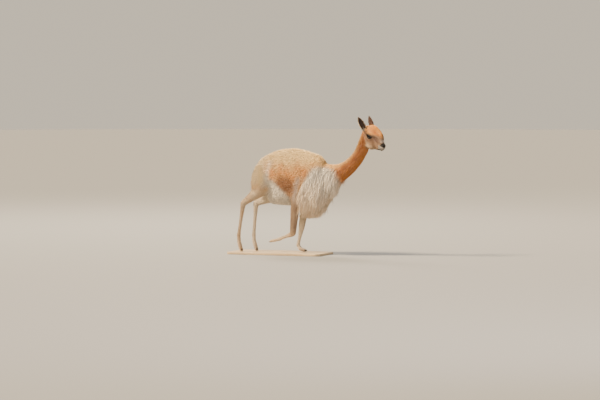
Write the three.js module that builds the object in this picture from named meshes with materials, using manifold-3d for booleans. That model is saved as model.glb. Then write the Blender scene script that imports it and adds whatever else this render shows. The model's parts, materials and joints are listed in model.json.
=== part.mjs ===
// A vicuna at a gallop, life size, on a plain flat base. Millimetres, +Z up. +X is the way the body faces
// and +Y is the animal's left. The origin is the centre of the base's underside. Every body part is a
// closed loft through a few named stations. The parts are joined into a trunk and four legs, which are
// then parted again by thin cuts, so that neighbours meet face to face.
import * as THREE from "three";
import { mergeVertices } from "three/addons/utils/BufferGeometryUtils.js";
import Module from "manifold-3d";

const wasm = await Module();
wasm.setup();

// Driving dimensions
const GAP = 0.3; // between neighbouring parts
const STAND = { length: 800, width: 360, thickness: 18, corner: 40, bevel: 3, centreX: -85 };

// A station is [x, y, z, side, upper, lower]: the centre of a cross-section, its half-width to each side,
// and its reach to the upper or front face and to the lower or rear face. The soles stand at z = 0.
const TRUNK = {
  rump: [-262, 0, 630, 64, 66, 74],
  croup: [-228, 0, 638, 94, 112, 134],
  hips: [-175, 0, 642, 112, 146, 230],
  loin: [-105, 0, 636, 128, 187, 262],
  back: [-5, 0, 617, 137, 217, 250],
  girth: [90, 0, 606, 138, 219, 236],
  shoulder: [172, 0, 602, 131, 206, 214],
  withers: [240, 0, 604, 120, 188, 186],
  dip: [292, 0, 612, 101, 146, 150],
  breast: [335, 0, 620, 80, 98, 112],
};
const NECK = {
  root: [325, 0, 630, 84, 84, 98],
  base: [403, 0, 640, 74, 72, 88],
  lower: [478, -2, 673, 64, 62, 70],
  middle: [550, -8, 731, 57, 55, 60],
  upper: [606, -16, 802, 53, 52, 56],
  nape: [640, -25, 872, 51, 50, 56],
  poll: [660, -30, 934, 48, 44, 52],
  atlas: [676, -28, 972, 42, 34, 44],
};
const TAIL = {
  dock: [-262, 0, 672, 26, 22, 22],
  root: [-292, 0, 640, 30, 24, 24],
  middle: [-306, 0, 588, 31, 24, 22],
  end: [-312, 0, 530, 25, 20, 20],
  tip: [-314, 0, 496, 15, 12, 12],
};
const CUTS = {
  neck: { at: [392, 0, 636], facing: [1, 0, 0.18], radius: 170 },
  poll: { at: [656, -34, 872], facing: [0.67, -0.08, 0.74], radius: 92 },
};

// The head has its own frame: forward along the face, left, and up out of the forehead, from between the
// eyes.
const HEAD_FRAME = { origin: [734, -42, 940], turnDegrees: -16, nodDegrees: 30, rollDegrees: 4 };
const SKULL = {
  occiput: [-84, 0, 2, 42, 44, 54],
  crown: [-56, 0, 1, 55, 70, 86],
  forehead: [-22, 0, 0, 58, 75, 98],
  brow: [10, 0, -3, 53, 72, 103],
  cheekbone: [40, 0, -12, 43, 71, 88],
  stop: [66, 0, -20, 35, 62, 66],
  bridge: [84, 0, -26, 30, 45, 54],
  muzzle: [104, 0, -30, 27, 35, 41],
  nose: [119, 0, -31, 23, 28, 32],
};
const EYE = {
  forward: -6, side: 41, up: -8, radius: 20,
  socketSide: 63, socket: [25, 15, 20],
  lidReach: 19, lidWall: 3.4,
};
// An ear leans back and out, the left one a little further, and opens to its side.
// Its leaf is a table of [share of the length, width, depth].
const EAR = {
  root: [-70, 44, 17],
  leanRight: [-1.33, 0.42, 1], openRight: [0.3, 0.9, 0.3],
  leanLeft: [-1.5, 0.36, 1], openLeft: [-0.15, 0.95, 0.1],
  length: 116, width: 23, depth: 13, wall: 3,
  leaf: [
    [-0.16, 0.6, 0.9],
    [0.1, 0.86, 1],
    [0.36, 1, 0.9],
    [0.62, 0.92, 0.7],
    [0.84, 0.62, 0.5],
    [0.98, 0.22, 0.26],
  ],
};
const BROW = [[-30, 46, 4, 7, 6, 7], [-6, 52, 13, 8, 6, 7], [22, 43, 6, 7, 6, 7]];
const NOSE_BRIDGE = [[34, 0, 38, 22, 19, 20], [76, 0, 7, 15, 12, 13], [114, 0, -9, 11, 8, 9]];
// Rounded forms of the face, each a centre on the animal's left and its half-lengths.
const CHEEK = { at: [8, 21, -58], radii: [60, 28, 43] };
const LIP_HALF = { at: [119, 10, -33], radii: [18, 14, 16] };
const WHISKER_PAD = { at: [98, 16, -35], radii: [24, 13, 18] };
const NOSE_PAD = { at: [126, 0, -15], radii: [12, 15, 11] };
const CHIN = { at: [112, 0, -56], radii: [20, 17, 12] };
const MOUTH = { corner: 84, front: 150, drop: -46, slope: 0.09, slit: 1.6, depth: 9 };
const MUZZLE_CORE = { at: [92, 0, -49], radii: [46, 30, 30] };
const NOSTRIL = { at: [133, 10, -16], radii: [5, 7, 2.6], turnDegrees: 30 };
const LIP_CLEFT = { at: [141, 0, -32], size: [20, 1.8, 22] };

// Joints of each leg in the pose. The right legs are the near ones: the fore is folded, the hind pushes
// off.
const LEGS = {
  foreleg_right: {
    blade: [196, -74, 650], shoulder: [182, -84, 556], elbow: [82, -84, 416],
    lower: [52, -66, 152], fetlock: [-66, -50, 107], pastern: [-98, -49, 97], toe: [-146, -48, 87],
  },
  foreleg_left: {
    blade: [226, 74, 650], shoulder: [216, 82, 572], elbow: [112, 76, 444],
    lower: [76, 56, 188], fetlock: [53, 44, 54], pastern: [70, 43, 27], toe: [114, 42, 11],
  },
  hindleg_right: {
    hip: [-204, -70, 655], stifle: [-206, -84, 508],
    lower: [-372, -77, 388], fetlock: [-418, -64, 129], pastern: [-415, -63, 78], toe: [-396, -62, 11],
  },
  hindleg_left: {
    hip: [-190, 70, 640], stifle: [-152, 84, 452],
    lower: [-322, 70, 384], fetlock: [-336, 55, 129], pastern: [-333, 54, 78], toe: [-312, 53, 11],
  },
};
// Sizes down each length of a leg, as [share of the length, side, front, rear].
const GIRTHS = {
  blade: [[0, 30, 56, 56], [0.5, 40, 66, 66], [1, 44, 66, 66]],
  upper_arm: [[0, 44, 66, 66], [0.4, 46, 60, 60], [0.8, 39, 46, 50], [1, 35, 40, 46]],
  forearm: [[0, 35, 40, 42], [0.3, 33, 36, 36], [0.65, 28, 31, 31], [0.9, 24, 27, 27], [1, 22, 26, 25]],
  thigh: [[-0.12, 42, 80, 76], [0.3, 52, 94, 96], [0.72, 52, 86, 97], [1, 48, 62, 94]],
  shank: [[0, 46, 62, 60], [0.28, 41, 50, 50], [0.55, 33, 39, 37], [0.82, 25, 31, 29], [1, 23, 27, 27]],
  fore_cannon: [[0, 22, 24, 24], [0.18, 19, 22, 21], [0.5, 15, 16, 16], [0.82, 15, 14, 15], [1, 18, 17, 17]],
  hind_cannon: [[0, 22, 24, 25], [0.16, 18, 20, 21], [0.42, 15, 16, 17], [0.82, 15, 14, 15], [1, 18, 17, 18]],
};
const JOINT_CUTS = {
  fore: { upper: 0.14, upperRadius: 60, bend: 0.8 },
  hind: { upper: 0.3, upperRadius: 78, bend: 0.6 },
  lower: 0.15, lowerRadius: 48, fetlock: 0.12, fetlockRadius: 34,
};
const TOE = { spread: 6.5, tipSpread: 13, side: 12, depth: 13.5, tip: 10.5 };
const NAIL = { side: 6.5, depth: 5, point: 2.5, reach: 10, root: 13 };
const HOCK_POINT = { up: 32, back: 24, radius: 14 };

// The breast's hair. Each row of locks hangs from an oval round its core, over an arc to either side of
// the front; flare is how far the tips stand out in front.
const BIB = {
  core: { centre: [232, 0, 545], radii: [130, 122, 185] },
  middle: [300, 0, 592],
  rear: { top: [262, 732], bottom: [100, 362] },
  sunk: 12, width: 64, thickness: 9, stream: 0.14, seed: 7,
  rows: [
    { z: 656, length: 100, count: 7, arc: 112, flare: 34, trim: 0 },
    { z: 604, length: 112, count: 9, arc: 128, flare: 40, trim: 0 },
    { z: 552, length: 120, count: 9, arc: 132, flare: 38, trim: 0 },
    { z: 500, length: 126, count: 9, arc: 132, flare: 24, trim: 0.1 },
    { z: 450, length: 134, count: 8, arc: 124, flare: 4, trim: 0.25 },
    { z: 408, length: 128, count: 6, arc: 112, flare: -12, trim: 0.3 },
  ],
};
const TAIL_LOCKS = {
  rows: 3, perRow: 4, start: 0.3, spread: 0.5,
  core: 0.8, length: 78, width: 26, thickness: 10, seed: 23,
};

const COLOURS = {
  fleece: 0xc98d55, neck: 0xb8743c, face: 0xb98a62, white: 0xe9dcc6, ear: 0x54372a,
  eye: 0x120c0a, nail: 0x2b211c, stand: 0xb9b2a6,
};

// Solids

// A closed mesh as a manifold-3d solid.
function solidOf(geometry) {
  const bare = geometry.clone();
  for (const name of Object.keys(bare.attributes)) if (name !== "position") bare.deleteAttribute(name);
  const merged = mergeVertices(bare, 1e-4);
  return new wasm.Manifold(
    new wasm.Mesh({
      numProp: 3,
      vertProperties: merged.attributes.position.array,
      triVerts: new Uint32Array(merged.index.array),
    }),
  );
}

// A manifold-3d solid as a three.js geometry with flat faces.
function geometryOf(solid) {
  const mesh = solid.getMesh();
  const corners = new Float32Array(mesh.numVert * 3);
  for (let i = 0; i < mesh.numVert; i++) {
    corners.set(mesh.vertProperties.subarray(i * mesh.numProp, i * mesh.numProp + 3), i * 3);
  }
  const made = new THREE.BufferGeometry()
    .setAttribute("position", new THREE.BufferAttribute(corners, 3))
    .setIndex(new THREE.BufferAttribute(mesh.triVerts.slice(), 1));
  made.computeVertexNormals();
  return made;
}

const union = (solids) => solids.reduce((a, b) => a.add(b));
const cutAway = (solid, tools) => tools.reduce((a, b) => a.subtract(b), solid);
const largest = (solid) => solid.decompose().sort((a, b) => b.volume() - a.volume())[0];
const vector = (p) => new THREE.Vector3(p[0], p[1], p[2]);
const between = (a, b, share) => a.map((v, i) => v + (b[i] - v) * share);

// A sphere's vertices, moved onto cross-sections along a smooth spine through the stations. `grow` swells
// every section, `caps` gives the length of the rounded ends as shares of the end section, `power` squares
// the sections.
function loft(stations, options = {}) {
  const {
    around = 14, steps = 2, domes = 2, grow = 0,
    caps = [0.6, 0.6], power = 2, lateral = [0, 1, 0],
  } = options;
  const spine = new THREE.CatmullRomCurve3(stations.map(vector), false, "catmullrom", 0.5);
  const girth = new THREE.CatmullRomCurve3(stations.map((s) => vector(s.slice(3))), false, "catmullrom", 0.5);
  const rings = (stations.length - 1) * steps;
  const geometry = new THREE.SphereGeometry(1, around, rings + 2 * domes);
  const place = geometry.attributes.position;
  const left = vector(lateral);
  const point = new THREE.Vector3();
  for (let row = 0; row <= rings + 2 * domes; row++) {
    const along = Math.min(Math.max((row - domes) / rings, 0), 1);
    const inDome = row < domes ? domes - row : Math.max(row - domes - rings, 0);
    const turn = (inDome / domes) * (Math.PI / 2);
    const tangent = spine.getTangent(along);
    const side = left.clone().addScaledVector(tangent, -left.dot(tangent)).normalize();
    const upper = new THREE.Vector3().crossVectors(tangent, side);
    const size = girth.getPoint(along).addScalar(grow);
    const centre = spine.getPoint(along);
    const end = row < domes ? -caps[0] : caps[1];
    centre.addScaledVector(tangent, (end * Math.sin(turn) * (size.x + size.y + size.z)) / 3);
    for (let column = 0; column <= around; column++) {
      const angle = -(column % around) * ((2 * Math.PI) / around);
      const [across, rise] = [Math.cos(angle), Math.sin(angle)].map(
        (v) => Math.sign(v) * Math.abs(v) ** (2 / power) * Math.cos(turn),
      );
      const reach = rise > 0 ? size.y : size.z;
      point.copy(centre);
      if (inDome < domes) point.addScaledVector(side, across * size.x).addScaledVector(upper, rise * reach);
      place.setXYZ(row * (around + 1) + column, point.x, point.y, point.z);
    }
  }
  return solidOf(geometry);
}

// An ellipsoid with its own axes, given as half-lengths along a matrix's columns.
function ellipsoid(centre, radii, { basis = new THREE.Matrix4(), grow = 0, around = 12, rows = 8 } = {}) {
  const geometry = new THREE.SphereGeometry(1, around, rows);
  geometry.scale(radii[0] + grow, radii[1] + grow, radii[2] + grow).applyMatrix4(basis);
  return solidOf(geometry.translate(...centre));
}

// A thin round blade that parts a limb at a point, square to a direction.
function blade(at, direction, radius) {
  const disc = new THREE.CylinderGeometry(radius, radius, GAP, 20);
  const turn = new THREE.Quaternion().setFromUnitVectors(
    new THREE.Vector3(0, 1, 0),
    vector(direction).normalize(),
  );
  return solidOf(disc.applyQuaternion(turn).translate(...at));
}

// Names the loose bodies of a parted solid by a point inside each.
function sortBodies(solid, marks) {
  const bodies = solid.decompose();
  return Object.fromEntries(
    Object.entries(marks).map(([name, at]) => {
      const probe = ellipsoid(at, [5, 5, 5], { around: 6, rows: 4 });
      const holding = bodies.map((body) => body.intersect(probe).volume());
      return [name, bodies[holding.indexOf(Math.max(...holding))]];
    }),
  );
}

const floorBox = solidOf(new THREE.BoxGeometry(3000, 2000, 200).translate(0, 0, -100));

// A repeatable series of numbers from 0 to 1.
function series(seed) {
  let state = seed;
  return () => {
    state = (state * 16807) % 2147483647;
    return state / 2147483647;
  };
}

// Legs

// Stations along one length of a leg, from a table of shares and sizes.
const lengthOf = (from, to, table) =>
  table.map(([share, ...sizes]) => [...between(from, to, share), ...sizes]);
const limb = (from, to, table, grow) => loft(lengthOf(from, to, table), { around: 10, steps: 1, grow });

function toes({ fetlock, pastern, toe }, grow) {
  return [-1, 1].map((sign) => {
    const shift = (p, by) => [p[0], p[1] + sign * by, p[2]];
    const { side, depth, tip, spread, tipSpread } = TOE;
    return loft(
      [
        [...shift(fetlock, spread * 0.6), side, depth + 2, depth + 2],
        [...shift(between(fetlock, pastern, 0.55), spread), side, depth, depth],
        [...shift(pastern, spread + 3), side, depth, depth],
        [...shift(between(pastern, toe, 0.5), tipSpread - 1), side, depth, depth],
        [...shift(toe, tipSpread), tip, tip, tip],
      ],
      { around: 7, steps: 1, domes: 1, grow },
    );
  });
}

// A toe's nail: a wedge on the upper side of the tip.
function nail({ pastern, toe }, sign, grow) {
  const ahead = vector(toe).sub(vector(pastern)).normalize();
  const top = new THREE.Vector3().crossVectors(ahead, new THREE.Vector3(0, 1, 0)).normalize();
  const tip = vector(toe).addScaledVector(ahead, TOE.tip * 0.35).addScaledVector(top, TOE.tip * 0.5);
  tip.y += sign * TOE.tipSpread;
  const root = tip.clone().addScaledVector(ahead, -NAIL.root).addScaledVector(top, 3);
  const end = tip.clone().addScaledVector(ahead, NAIL.reach).addScaledVector(top, -5);
  return loft(
    [
      [...root.toArray(), NAIL.side - 2, 2.5, 4],
      [...tip.toArray(), NAIL.side, 4, 6],
      [...end.toArray(), NAIL.point, 1.5, NAIL.point],
    ],
    { around: 8, steps: 1, domes: 1, grow, caps: [0.5, 0.5] },
  );
}

// The heel bone that stands out behind the hock.
function hockPoint({ lower, fetlock }, grow) {
  const up = vector(lower).sub(vector(fetlock)).normalize();
  const back = new THREE.Vector3().crossVectors(up, new THREE.Vector3(0, -1, 0));
  const at = (rise, behind) =>
    vector(lower).addScaledVector(up, rise).addScaledVector(back, behind).toArray();
  const { up: height, back: behind, radius } = HOCK_POINT;
  return loft(
    [
      [...at(-30, 4), radius - 1, radius - 2, radius - 2],
      [...at(height * 0.3, behind * 0.8), radius, radius, radius],
      [...at(height, behind), radius - 2, radius - 2, radius - 2],
    ],
    { around: 8, steps: 1, grow },
  );
}

function leg(name, grow = 0) {
  const joints = LEGS[name];
  const { blade: bladeTop, shoulder, elbow, hip, stifle, lower, fetlock } = joints;
  const upper = name.startsWith("fore")
    ? [
        limb(bladeTop, shoulder, GIRTHS.blade, grow),
        limb(shoulder, elbow, GIRTHS.upper_arm, grow),
        limb(elbow, lower, GIRTHS.forearm, grow),
        limb(lower, fetlock, GIRTHS.fore_cannon, grow),
      ]
    : [
        limb(hip, stifle, GIRTHS.thigh, grow),
        limb(stifle, lower, GIRTHS.shank, grow),
        limb(lower, fetlock, GIRTHS.hind_cannon, grow),
        hockPoint(joints, grow),
      ];
  return union([...upper, ...toes(joints, grow)]);
}

const direction = (a, b) => vector(b).sub(vector(a)).normalize().toArray();

// Parts a leg at its joints and frees its nails.
function legBodies(name) {
  const joints = LEGS[name];
  const { shoulder, elbow, hip, stifle, lower, fetlock, pastern } = joints;
  const fore = name.startsWith("fore");
  const [top, middle] = fore ? [shoulder, elbow] : [hip, stifle];
  const { upper, upperRadius, bend } = fore ? JOINT_CUTS.fore : JOINT_CUTS.hind;
  const cuts = [
    blade(
      between(middle, lower, upper),
      between(direction(top, middle), direction(middle, lower), bend),
      upperRadius,
    ),
    blade(between(lower, fetlock, JOINT_CUTS.lower), direction(lower, fetlock), JOINT_CUTS.lowerRadius),
    blade(
      between(fetlock, pastern, JOINT_CUTS.fetlock),
      direction(fetlock, pastern),
      JOINT_CUTS.fetlockRadius,
    ),
    ...[-1, 1].map((sign) => nail(joints, sign, GAP)),
  ];
  const parts = sortBodies(cutAway(leg(name).subtract(floorBox), cuts), {
    [fore ? "upper_arm" : "thigh"]: between(top, middle, 0.3),
    [fore ? "forearm" : "shank"]: between(middle, lower, 0.65),
    cannon: between(lower, fetlock, 0.6),
    foot: [pastern[0], pastern[1] + TOE.spread + 3, pastern[2]],
  });
  parts.nail_right = nail(joints, -1, 0).subtract(floorBox);
  parts.nail_left = nail(joints, 1, 0).subtract(floorBox);
  return Object.fromEntries(Object.entries(parts).map(([part, body]) => [`${name}_${part}`, body]));
}

// Head, in its own frame

const turned = (axis, degrees) =>
  new THREE.Matrix4()[`makeRotation${axis}`](THREE.MathUtils.degToRad(degrees));
const headMatrix = new THREE.Matrix4()
  .makeTranslation(...HEAD_FRAME.origin)
  .multiply(turned("Z", HEAD_FRAME.turnDegrees))
  .multiply(turned("Y", HEAD_FRAME.nodDegrees))
  .multiply(turned("X", HEAD_FRAME.rollDegrees));
const inHead = (solid) => solid.transform(headMatrix.elements);

const onSide = ([x, y, z, ...sizes], sign) => [x, sign * y, z, ...sizes];
const bulge = ({ at, radii }, sign = 1, options = {}) => ellipsoid(onSide(at, sign), radii, options);

function eyeball(sign, grow = 0) {
  const { forward, side, up, radius } = EYE;
  return ellipsoid([forward, sign * side, up], [radius, radius, radius], { grow, around: 12, rows: 9 });
}

const socket = (sign) => ellipsoid([EYE.forward, sign * EYE.socketSide, EYE.up], EYE.socket, { around: 10 });

// The rim of both lids round the eyeball, longer than it is high, under a brow.
function lids(sign) {
  const ring = new THREE.TorusGeometry(EYE.lidReach, EYE.lidWall, 5, 12).scale(1, 0.78, 1.3);
  ring.rotateX(Math.PI / 2).translate(EYE.forward, sign * (EYE.side + 10), EYE.up);
  return [solidOf(ring), loft(BROW.map((station) => onSide(station, sign)), { around: 8, domes: 1 })];
}

// One ear's leaf, or the hollow of its cup.
function earLeaf(sign, { grow = 0, hollow = false } = {}) {
  const [lean, facing] = sign > 0 ? [EAR.leanLeft, EAR.openLeft] : [EAR.leanRight, EAR.openRight];
  const [along, open, root] = [lean, facing, EAR.root].map((p) => vector(onSide(p, sign)));
  along.normalize();
  open.addScaledVector(along, -open.dot(along)).normalize();
  const across = new THREE.Vector3().crossVectors(along, open);
  const slim = hollow ? EAR.wall : -grow;
  const stations = (hollow ? EAR.leaf.slice(1, 5) : EAR.leaf).map(([share, width, depth]) => {
    const half = EAR.depth * depth;
    const centre = root.clone().addScaledVector(along, EAR.length * share);
    if (hollow) centre.addScaledVector(open, half * 0.75);
    return [...centre.toArray(), EAR.width * width - slim * 0.9, half - slim, half - slim];
  });
  return loft(stations, { around: 8, steps: 1, caps: [0.4, 0.4], lateral: across.toArray() });
}

function headWhole() {
  const soft = [
    loft(Object.values(SKULL), { around: 18, caps: [0.55, 0.6], power: 2.1 }),
    loft(NOSE_BRIDGE, { around: 10 }),
    ...[-1, 1].map((sign) => bulge(CHEEK, sign, { around: 10, rows: 7 })),
  ];
  const carved = cutAway(union(soft), [socket(-1), socket(1)]);
  const small = { around: 10, rows: 6 };
  const details = [-1, 1].flatMap((sign) => [
    bulge(LIP_HALF, sign, small),
    bulge(WHISKER_PAD, sign, small),
    ...lids(sign),
  ]);
  return union([carved, ...details, bulge(NOSE_PAD, 1, small), bulge(CHIN, 1, small)]);
}

// The slit between the lips, as deep as MOUTH.depth all round the muzzle.
function mouthSlit() {
  const { corner, front, drop, slope, slit, depth } = MOUTH;
  const middle = (front + corner) / 2;
  const plate = new THREE.BoxGeometry(front - corner, 90, slit);
  plate.rotateY(Math.atan(slope)).translate(middle, 0, drop + (front - middle) * slope);
  const [length, side, height] = MUZZLE_CORE.radii;
  const core = ellipsoid(MUZZLE_CORE.at, [length - depth, side - depth, height], { around: 12 });
  return solidOf(plate).subtract(core);
}

function nostril(sign) {
  return bulge(NOSTRIL, sign, { basis: turned("Z", sign * NOSTRIL.turnDegrees), around: 10, rows: 6 });
}

// A narrow groove that parts the upper lip under the nose.
const lipCleft = () => solidOf(new THREE.BoxGeometry(...LIP_CLEFT.size).translate(...LIP_CLEFT.at));

// Hair in locks

// A flat tapered lock through a few points, widest near its root.
function lock(points, outward, width, thickness) {
  const shares = [0.75, 1, 0.85, 0.3];
  const across = new THREE.Vector3().crossVectors(outward, points[3].clone().sub(points[0])).normalize();
  const stations = points.map((p, i) => {
    const flat = (thickness / 2) * (i === 3 ? 0.4 : 1);
    return [...p.toArray(), (width / 2) * shares[i], flat, flat];
  });
  return loft(stations, { around: 4, steps: 1, domes: 1, caps: [0.3, 1.2], lateral: across.toArray() });
}

// The breast's locks.
function bibLocks() {
  const random = series(BIB.seed);
  const { centre, radii } = BIB.core;
  return BIB.rows.flatMap(({ z, length, count, arc, flare, trim }, row) => {
    const share = Math.sqrt(1 - ((z - centre[2]) / radii[2]) ** 2);
    return Array.from({ length: count }, (_, i) => {
      const step = (2 * arc) / (count - 1);
      const degrees = -arc + step * (i + (row % 2 ? 0.25 : -0.15)) + (random() - 0.5) * step * 0.4;
      const angle = THREE.MathUtils.degToRad(degrees);
      const [ahead, aside] = [Math.cos(angle), Math.sin(angle)];
      const out = new THREE.Vector3(ahead / radii[0], aside / radii[1], 0).normalize();
      const side = new THREE.Vector3(-out.y, out.x, 0);
      const root = new THREE.Vector3(
        centre[0] + radii[0] * share * ahead,
        radii[1] * share * aside,
        z + (random() - 0.5) * 14,
      );
      const long = length * (0.85 + 0.3 * random()) * (1 - trim * Math.max(ahead, 0));
      const stand = flare * (0.35 + 0.65 * Math.max(ahead, 0)) * (0.8 + 0.4 * random());
      const sway = (random() - 0.5) * 0.2 * long;
      const at = (along, lift) =>
        root
          .clone()
          .addScaledVector(out, lift - BIB.sunk)
          .addScaledVector(side, sway * along * along)
          .add(new THREE.Vector3(-BIB.stream * long * along * along, 0, -long * along));
      const points = [at(0, 0), at(0.3, 16 + 0.2 * stand), at(0.66, 20 + 0.65 * stand), at(1, 14 + stand)];
      return lock(points, out, BIB.width * (0.85 + 0.3 * random()), BIB.thickness);
    });
  });
}

function tailWithLocks() {
  const random = series(TAIL_LOCKS.seed);
  const { rows, perRow, start, spread, core, length, width, thickness } = TAIL_LOCKS;
  const stations = Object.values(TAIL).map(([x, y, z, ...sizes]) => [
    x, y, z, ...sizes.map((size) => size * core),
  ]);
  const spine = new THREE.CatmullRomCurve3(stations.map(vector));
  const locks = Array.from({ length: rows * perRow }, (_, i) => {
    const row = Math.floor(i / perRow);
    const centre = spine.getPoint(start + (spread * row) / (rows - 1));
    const turn = ((i % perRow) - (perRow - 1) / 2 + (row % 2) * 0.5) / perRow;
    const angle = Math.PI * (1 + 1.4 * turn);
    const out = new THREE.Vector3(Math.cos(angle), Math.sin(angle), 0);
    const long = length * (0.8 + 0.3 * random());
    const at = (along, lift) =>
      centre.clone().addScaledVector(out, lift).add(new THREE.Vector3(0, 0, -long * along));
    return lock([at(0, 8), at(0.3, 22), at(0.65, 23), at(1, 13)], out, width, thickness);
  });
  return union([loft(stations, { around: 10, steps: 1 }), ...locks]);
}

// Trunk

// The space in front of the slanting line behind the shoulder, where the breast begins.
function breastSpace(grow) {
  const { top, bottom } = BIB.rear;
  const slope = (top[0] - bottom[0]) / (top[1] - bottom[1]);
  const lineX = (z) => bottom[0] + (z - bottom[1]) * slope - grow;
  const outline = new THREE.Shape();
  outline.moveTo(lineX(0), 0);
  outline.lineTo(1000, 0);
  outline.lineTo(1000, 1200);
  outline.lineTo(lineX(1200), 1200);
  const slab = new THREE.ExtrudeGeometry(outline, { depth: 800, bevelEnabled: false });
  return solidOf(slab.rotateX(Math.PI / 2).translate(0, 400, 0));
}

function buildBodies() {
  const bodies = {};
  const sides = [["right", -1], ["left", 1]];
  for (const name of Object.keys(LEGS)) Object.assign(bodies, legBodies(name));
  for (const [side, sign] of sides) {
    bodies[`ear_${side}`] = largest(inHead(earLeaf(sign).subtract(earLeaf(sign, { hollow: true }))));
    bodies[`eye_${side}`] = inHead(eyeball(sign));
  }
  const trunk = loft(Object.values(TRUNK), { around: 18, power: 2.1 });
  const tailTool = loft(Object.values(TAIL), { around: 10, steps: 1, grow: GAP });
  const legTools = Object.keys(LEGS).map((name) => leg(name, GAP));
  bodies.torso = largest(cutAway(trunk, [breastSpace(GAP), tailTool, ...legTools]));
  bodies.tail = largest(tailWithLocks().subtract(trunk.subtract(tailTool)));

  const headTools = sides.flatMap(([, sign]) => [
    eyeball(sign, GAP),
    earLeaf(sign, { grow: GAP }),
    nostril(sign),
  ]);
  const neck = loft(Object.values(NECK), { around: 16 });
  const { centre, radii } = BIB.core;
  const breast = union([trunk, ellipsoid(centre, radii, { around: 14, rows: 10 })]).intersect(breastSpace(0));
  const front = cutAway(union([breast, neck, inHead(headWhole())]), [
    ...[CUTS.neck, CUTS.poll].map((cut) => blade(cut.at, cut.facing, cut.radius)),
    ...[mouthSlit(), lipCleft(), ...headTools].map(inHead),
  ]);
  const parted = sortBodies(front, {
    chest: BIB.middle,
    neck: NECK.middle.slice(0, 3),
    head: HEAD_FRAME.origin,
  });
  const behind = trunk.subtract(breastSpace(GAP));
  const { at, facing, radius } = CUTS.neck;
  const haired = cutAway(union([parted.chest, ...bibLocks()]), [behind, blade(at, facing, radius)]);
  bodies.chest = largest(cutAway(haired, [...legTools, parted.neck]));
  bodies.neck = parted.neck;
  bodies.head = parted.head;
  return bodies;
}

// Materials and scene graph

const material = (colour, roughness = 0.9) =>
  new THREE.MeshStandardMaterial({ color: colour, roughness, metalness: 0 });
const MATERIALS = {
  fleece: material(COLOURS.fleece),
  neck: material(COLOURS.neck),
  face: material(COLOURS.face),
  white: material(COLOURS.white),
  ear: material(COLOURS.ear),
  eye: material(COLOURS.eye, 0.08),
  nail: material(COLOURS.nail, 0.5),
  stand: material(COLOURS.stand, 0.6),
};

function finishOf(name) {
  if (name.includes("nail")) return MATERIALS.nail;
  if (name.startsWith("eye")) return MATERIALS.eye;
  if (name.startsWith("ear")) return MATERIALS.ear;
  if (name === "head") return MATERIALS.face;
  if (name === "neck") return MATERIALS.neck;
  if (name === "chest" || name.includes("shank")) return MATERIALS.white;
  return MATERIALS.fleece;
}

function standBase() {
  const { length, width, corner, thickness, bevel } = STAND;
  const [x, y] = [length / 2 - bevel, width / 2 - bevel];
  const outline = new THREE.Shape();
  outline.moveTo(-x + corner, -y);
  outline.lineTo(x - corner, -y);
  outline.absarc(x - corner, -y + corner, corner, -Math.PI / 2, 0);
  outline.absarc(x - corner, y - corner, corner, 0, Math.PI / 2);
  outline.absarc(-x + corner, y - corner, corner, Math.PI / 2, Math.PI);
  outline.absarc(-x + corner, -y + corner, corner, Math.PI, 1.5 * Math.PI);
  const options = {
    depth: thickness - 2 * bevel,
    bevelSize: bevel,
    bevelThickness: bevel,
    bevelSegments: 1,
    curveSegments: 3,
  };
  return new THREE.ExtrudeGeometry(outline, options).translate(0, 0, bevel);
}

const vicuna = new THREE.Group();
const animal = new THREE.Group();
animal.position.set(-STAND.centreX, 0, STAND.thickness + GAP);
for (const [name, body] of Object.entries(buildBodies())) {
  const mesh = new THREE.Mesh(geometryOf(body), finishOf(name));
  mesh.name = name;
  animal.add(mesh);
}
const stand = new THREE.Mesh(standBase(), MATERIALS.stand);
stand.name = "stand_base";
vicuna.add(animal, stand);

export default vicuna;
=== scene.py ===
"""A life-size still model of a running vicuna on a flat base: skin, coat, face and studio. Metres, +Z up."""

import json
import logging
import math
from dataclasses import dataclass, field
from enum import Enum, IntEnum
from typing import Sequence

import bmesh
import bpy
import numpy as np
from bmesh.types import BMesh, BMVert
from bpy.types import Material, Mesh, Node, NodeSocket, NodeTree, Object
from mathutils import Matrix, Vector
from mathutils.bvhtree import BVHTree
from mathutils.kdtree import KDTree

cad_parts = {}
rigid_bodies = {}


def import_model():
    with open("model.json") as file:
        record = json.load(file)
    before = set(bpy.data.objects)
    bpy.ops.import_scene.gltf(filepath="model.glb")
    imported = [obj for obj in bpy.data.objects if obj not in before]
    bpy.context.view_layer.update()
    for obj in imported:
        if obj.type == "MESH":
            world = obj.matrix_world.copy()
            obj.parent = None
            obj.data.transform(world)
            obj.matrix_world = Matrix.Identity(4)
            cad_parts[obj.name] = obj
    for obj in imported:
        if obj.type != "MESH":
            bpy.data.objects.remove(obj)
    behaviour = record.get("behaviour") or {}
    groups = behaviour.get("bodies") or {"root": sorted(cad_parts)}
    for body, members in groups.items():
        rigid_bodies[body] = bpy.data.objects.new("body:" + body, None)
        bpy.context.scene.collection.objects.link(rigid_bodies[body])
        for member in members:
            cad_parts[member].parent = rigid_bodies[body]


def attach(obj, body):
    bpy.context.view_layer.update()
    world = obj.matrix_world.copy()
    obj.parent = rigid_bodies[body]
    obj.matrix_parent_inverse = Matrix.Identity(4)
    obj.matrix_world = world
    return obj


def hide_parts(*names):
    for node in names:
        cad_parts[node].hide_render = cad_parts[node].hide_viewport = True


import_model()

Array = np.ndarray
Pair = tuple[float, float]
Triple = tuple[float, float, float]

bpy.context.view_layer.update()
MM = 0.001
TINY = 1e-12
LOG = logging.getLogger("vicuna")

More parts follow.
